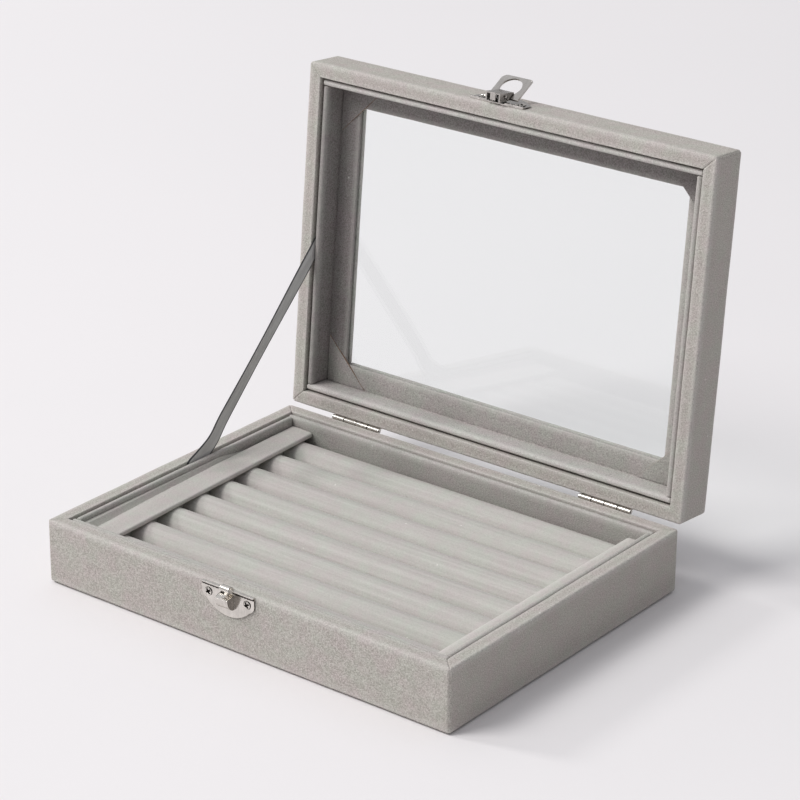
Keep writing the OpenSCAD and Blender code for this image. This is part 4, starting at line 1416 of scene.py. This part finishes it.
@dataclass
class LeverSpring:
    """Torsion spring round the lever pin: wire swept along its path by Geometry Nodes."""

    shop: Workshop
    turns: int = 4
    per_turn: int = 28
    pitch: float = 0.8 * MM
    radius: float = 0.97 * MM
    wire: float = 0.17 * MM
    leg: float = 2.2 * MM
    fore_dip: float = math.radians(6)
    aft_dip: float = math.radians(10)

    def build(self) -> bpy.types.Object:
        """Builds the spring in place of its CAD node."""
        turn = self.shop.case.opened()
        pin = self.shop.case.box("lever_pin", shut=True).centre
        path = [turn @ p for p in self._path(pin)]
        mesh = bpy.data.meshes.new("lever_spring_wire")
        mesh.from_pydata([tuple(p) for p in path], [(i, i + 1) for i in range(len(path) - 1)], [])
        thing = bpy.data.objects.new("lever_spring_wire", mesh)
        bpy.context.scene.collection.objects.link(thing)
        self._tree().run(thing, {"Wire Radius": self.wire, "Finish": self.shop.palette[Palette.WIRE]})
        near, far = (turn @ (pin + Vector((0.0, 0.0, up))) for up in (self.radius + 0.2 * MM, self.radius + self.leg))
        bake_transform(thing)
        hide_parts("lever_spring")
        LOG.info("%s bends between lid and lever", thing.name)
        return thing

    def _path(self, pin: Vector) -> list[Vector]:
        """Centre line of the wire with the lid shut: a leg, the turns, the other leg."""
        def spot(x: float, up: float, out: float) -> Vector:
            """Place at distances from the middle of the pin."""
            return pin + Vector((x, -out, up))

        coil = []
        for i in range(self.turns * self.per_turn + 1):
            a = math.radians(-90) + math.tau * i / self.per_turn
            coil.append(((i / self.per_turn - self.turns / 2) * self.pitch, -self.radius * math.cos(a),
                         self.radius * math.sin(a)))
        first, last = coil[0], coil[-1]
        start = (first[0], first[1] + self.leg * math.cos(self.aft_dip), first[2] - self.leg * math.sin(self.aft_dip))
        end = (last[0], last[1] - self.leg * math.cos(self.fore_dip), last[2] - self.leg * math.sin(self.fore_dip))
        return [spot(*p) for p in (start, *coil, end)]

    @staticmethod
    def _tree() -> GeometryTree:
        """Sweeps a round wire along the path."""
        w = GeometryTree("wire_sweep", [("Wire Radius", "NodeSocketFloat"), ("Finish", "NodeSocketMaterial")])
        line = w.add("GeometryNodeMeshToCurve", {0: w.given["Geometry"]}).outputs[0]
        ring = w.add("GeometryNodeCurvePrimitiveCircle", {"Resolution": 12, "Radius": w.given["Wire Radius"]}).outputs[0]
        swept = w.add("GeometryNodeCurveToMesh", {"Curve": line, "Profile Curve": ring, "Fill Caps": True}).outputs[0]
        w.close(w.add("GeometryNodeSetShadeSmooth", {"Geometry": swept}).outputs[0])
        return w


@dataclass
class Fittings:
    """Hinges and latch: pressed nickel plates, pins, screws, lever and spring."""

    shop: Workshop
    straight_edge: float = 27.2

    def build(self) -> None:
        """Builds every metal piece and marks where each hinge and plate is closed in, for painted shade."""
        made: list[bpy.types.Object] = []
        for side in ("left", "right"):
            made.append(self._pressed(f"hinge_{side}_base_leaf", "base"))
            made.append(self._pressed(f"hinge_{side}_lid_leaf", "lid"))
            made.append(self._pressed(f"hinge_{side}_pin", "base"))
        made.append(self._pressed("catch_plate", "base"))
        made.append(self._pressed("lever_plate", "lid", Palette.LEVER))
        made.append(self._pressed("latch_lever", "latch_lever", Palette.LEVER))
        made.append(self._pressed("lever_pin", "lid"))
        made.append(LeverSpring(self.shop).build())
        made += ScrewHeads(self.shop).build()
        Hollows().mark(made)
        by_name = {thing.name: thing for thing in made}
        turn = self.shop.case.opened()
        self._paint_bead_shade(by_name["catch_plate_fine"], "catch_plate", Matrix.Identity(4), -1.0)
        self._paint_bead_shade(by_name["lever_plate_fine"], "lever_plate", turn, 1.0)

    def _paint_bead_shade(self, thing: bpy.types.Object, node: str, turn: Matrix, down: float) -> None:
        """Paints shade: a dark shadow line under a plate's bead, a dark outline at the sides of its pressed form, and
        dark reflection on the flanks of that form.

        Args:
            thing: the plate.
            node: its CAD node.
            turn: takes the shut case to the row frame.
            down: -1 where the plate lies below its bead with the lid shut, 1 where it lies above.
        """
        box = self.shop.case.box(node, shut=True)
        bead = self.straight_edge if down < 0 else box.lo.z / MM
        middle = box.centre.x
        back = turn.inverted()
        values = thing.data.attributes["hollow"].data
        for vertex in thing.data.vertices:
            spot = back @ vertex.co
            below = (spot.z / MM - bead) * down
            # painted shadow under the bead, painted dark outline at the form's sides, painted dark reflection on its
            # flanks
            under_bead = 0.6 <= below <= 1.5 and spot.y < -75.6 * MM and abs(spot.x - middle) > 2.4 * MM
            side = abs(abs(spot.x - middle) - 3.2 * MM) < 0.08 * MM and spot.y < -75.9 * MM
            flank = below > 1.5 and abs((back.to_3x3() @ vertex.normal).y) < 0.8 and spot.y > -75.6 * MM
            if under_bead or side or flank:
                values[vertex.index].value = max(values[vertex.index].value, 0.3 if side else 0.45)

    def _pressed(self, node: str, body: str, finish: Plated = Palette.NICKEL) -> bpy.types.Object:
        """A pressed metal piece with rolled edges, from its CAD node."""
        return self.shop.metal(node, body, finish, 0.1 * MM)


@dataclass
class Hollows:
    """Finds where small metal pieces are closed in by each other, for the painted shade of their finish."""

    reach: float = 1.7 * MM
    rays: int = 14
    step: float = 0.6 * MM

    def mark(self, things: Sequence[bpy.types.Object]) -> None:
        """Writes the float attribute 'hollow', which sets painted shade, on the points of every piece.

        Args:
            things: pieces that shade each other.
        """
        points: list[Vector] = []
        faces: list[list[int]] = []
        for thing in things:
            self._refine(thing)
            first = len(points)
            points += [v.co.copy() for v in thing.data.vertices]
            faces += [[first + i for i in face.vertices] for face in thing.data.polygons]
        tree = BVHTree.FromPolygons(points, faces)
        for thing in things:
            values = [self._closed_in(tree, v.co, v.normal) for v in thing.data.vertices]
            thing.data.attributes.new("hollow", "FLOAT", "POINT").data.foreach_set("value", values)
            LOG.info("%s is closed in by up to %.2f", thing.name, max(values))

    def _closed_in(self, tree: BVHTree, place: Vector, normal: Vector) -> float:
        """Share of what a point could see that metal nearby hides."""
        turn = normal.to_track_quat("Z", "Y")
        start = place + normal * 0.02 * MM
        hidden = 0.0
        for k in range(self.rays):
            rise = math.sqrt(1 - (k + 0.5) / self.rays)
            flat = math.sqrt(1 - rise * rise)
            way = turn @ Vector((flat * math.cos(GOLDEN_ANGLE * k), flat * math.sin(GOLDEN_ANGLE * k), rise))
            distance = tree.ray_cast(start, way, self.reach)[3]
            if distance is not None:
                hidden += 1 - distance / self.reach
        return hidden / self.rays

    def _refine(self, thing: bpy.types.Object) -> None:
        """Splits long edges, so that the attribute has points to stand on."""
        work = bmesh.new()
        work.from_mesh(thing.data)
        bmesh.ops.triangulate(work, faces=work.faces)
        for _ in range(7):
            long = [edge for edge in work.edges if edge.calc_length() > self.step]
            if not long:
                break
            bmesh.ops.subdivide_edges(work, edges=long, cuts=1)
            bmesh.ops.triangulate(work, faces=[face for face in work.faces if len(face.verts) > 3])
        work.to_mesh(thing.data)
        work.free()


# ---------- studio ----------

@dataclass
class Studio:
    """Pale floor, soft light from the front left and the camera of the photograph."""

    target: Vector = field(default_factory=lambda: Vector((-32.72, 65.70, 50.40)) * MM)
    azimuth: float = math.radians(37.727)
    elevation: float = math.radians(23.048)
    tilt: float = math.radians(0.517)
    distance: float = 1235.2 * MM
    focal_pixels: float = 2979.7
    frame_pixels: float = 800.0

    def camera(self) -> None:
        """Sets the camera to the photograph's view."""
        az, el = self.azimuth, self.elevation
        back = Vector((math.sin(az) * math.cos(el), -math.cos(az) * math.cos(el), math.sin(el)))
        right = (-back).cross(Vector((0, 0, 1))).normalized()
        up = right.cross(-back)
        c, s = math.cos(self.tilt), math.sin(self.tilt)
        across, upward = right * c + up * s, up * c - right * s
        data = bpy.data.cameras.new("photo_camera")
        data.sensor_width = 36.0
        data.lens = self.focal_pixels * 36.0 / self.frame_pixels
        data.clip_start, data.clip_end = 0.05, 50.0
        camera = bpy.data.objects.new("photo_camera", data)
        camera.matrix_world = Matrix([[across[i], upward[i], back[i], (self.target + back * self.distance)[i]]
                                      for i in range(3)] + [[0, 0, 0, 1]])
        bpy.context.scene.collection.objects.link(camera)
        bpy.context.scene.camera = camera

    def floor(self) -> None:
        """Lays the pale floor."""
        mesh = bpy.data.meshes.new("studio_floor")
        r = 6.0
        mesh.from_pydata([(-r, -r, 0), (r, -r, 0), (r, r, 0), (-r, r, 0)], [], [(0, 1, 2, 3)])
        material = bpy.data.materials.new("studio_floor")
        material.use_nodes = True
        material.node_tree.nodes.clear()
        w = TreeWriter(material.node_tree)
        place = w.add("ShaderNodeTexCoord").outputs["Object"]
        colour = w.mix(w.spread(w.noise(place, 3.0), 0.3, 0.7), (0.81, 0.793, 0.803, 1.0), (0.825, 0.805, 0.815, 1.0))
        surface = w.add("ShaderNodeBsdfPrincipled", {"Base Color": colour, "Roughness": 0.9, "Specular IOR Level": 0.1})
        w.add("ShaderNodeOutputMaterial", {"Surface": surface.outputs[0]})
        mesh.materials.append(material)
        floor = bpy.data.objects.new("studio_floor", mesh)
        bpy.context.scene.collection.objects.link(floor)

    def lights(self) -> None:
        """Sets the key light and the room's soft light."""
        self._panel("key_panel", Vector((-0.60, -0.80, 1.15)), 5.0, 2.0, 108.0, (1.0, 0.985, 0.965))
        self._panel("side_panel", Vector((-1.0, -0.3, 0.62)), 5.0, 0.7, 44.0, (1.0, 0.985, 0.97))
        world = bpy.data.worlds.new("studio")
        world.use_nodes = True
        world.node_tree.nodes.clear()
        w = TreeWriter(world.node_tree)
        way = w.add("ShaderNodeTexCoord").outputs["Generated"]
        height = w.add("ShaderNodeSeparateXYZ", {0: way}).outputs[2]
        colour = w.mix(w.spread(height, -0.1, 0.8), (0.46, 0.455, 0.46, 1.0), (0.96, 0.97, 1.0, 1.0))
        dark_side = w.add("ShaderNodeVectorMath", {0: way, 1: (0.8, -0.1, 0.6)}, operation="DOT_PRODUCT").outputs["Value"]
        colour = w.mix(w.spread(dark_side, 0.2, 0.85, 0.0, 0.38), colour, (0.05, 0.05, 0.052, 1.0))
        sky = w.add("ShaderNodeBackground", {"Color": colour, "Strength": 0.67})
        w.add("ShaderNodeOutputWorld", {"Surface": sky.outputs[0]})
        bpy.context.scene.world = world
        bpy.context.scene.view_settings.view_transform = "Standard"
        bpy.context.scene.view_settings.look = "Medium High Contrast"

    def _panel(self, name: str, way: Vector, distance: float, size: float, power: float,
               colour: tuple[float, float, float]) -> None:
        """A square light panel that faces the box.

        Args:
            name: name of the light.
            way: direction from the box to the light.
            distance: distance from the box.
            size: side of the panel.
            power: its power in watts.
            colour: its colour.
        """
        data = bpy.data.lights.new(name, "AREA")
        data.size = size
        data.energy = power
        data.color = colour
        lamp = bpy.data.objects.new(name, data)
        lamp.location = way.normalized() * distance
        lamp.rotation_mode = "QUATERNION"
        lamp.rotation_quaternion = (-way).to_track_quat("-Z", "Y")
        bpy.context.scene.collection.objects.link(lamp)


def main(frame: dict) -> None:
    """Builds the scene, sub-assembly by sub-assembly.
    """
    logging.basicConfig(level=logging.INFO, format="%(message)s")
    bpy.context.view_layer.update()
    studio = Studio()
    studio.camera()
    studio.floor()
    studio.lights()
    shop = Workshop(CaseFrame.read(frame), Palette(SharedGroups()))
    CaseShell(shop).build()
    RollBed(shop).build()
    Gussets(shop).build()
    LiningSheets(shop).build()
    Fittings(shop).build()
    RibbonStay(shop).build()


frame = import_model()

if __name__ == "__main__":
    main(frame)
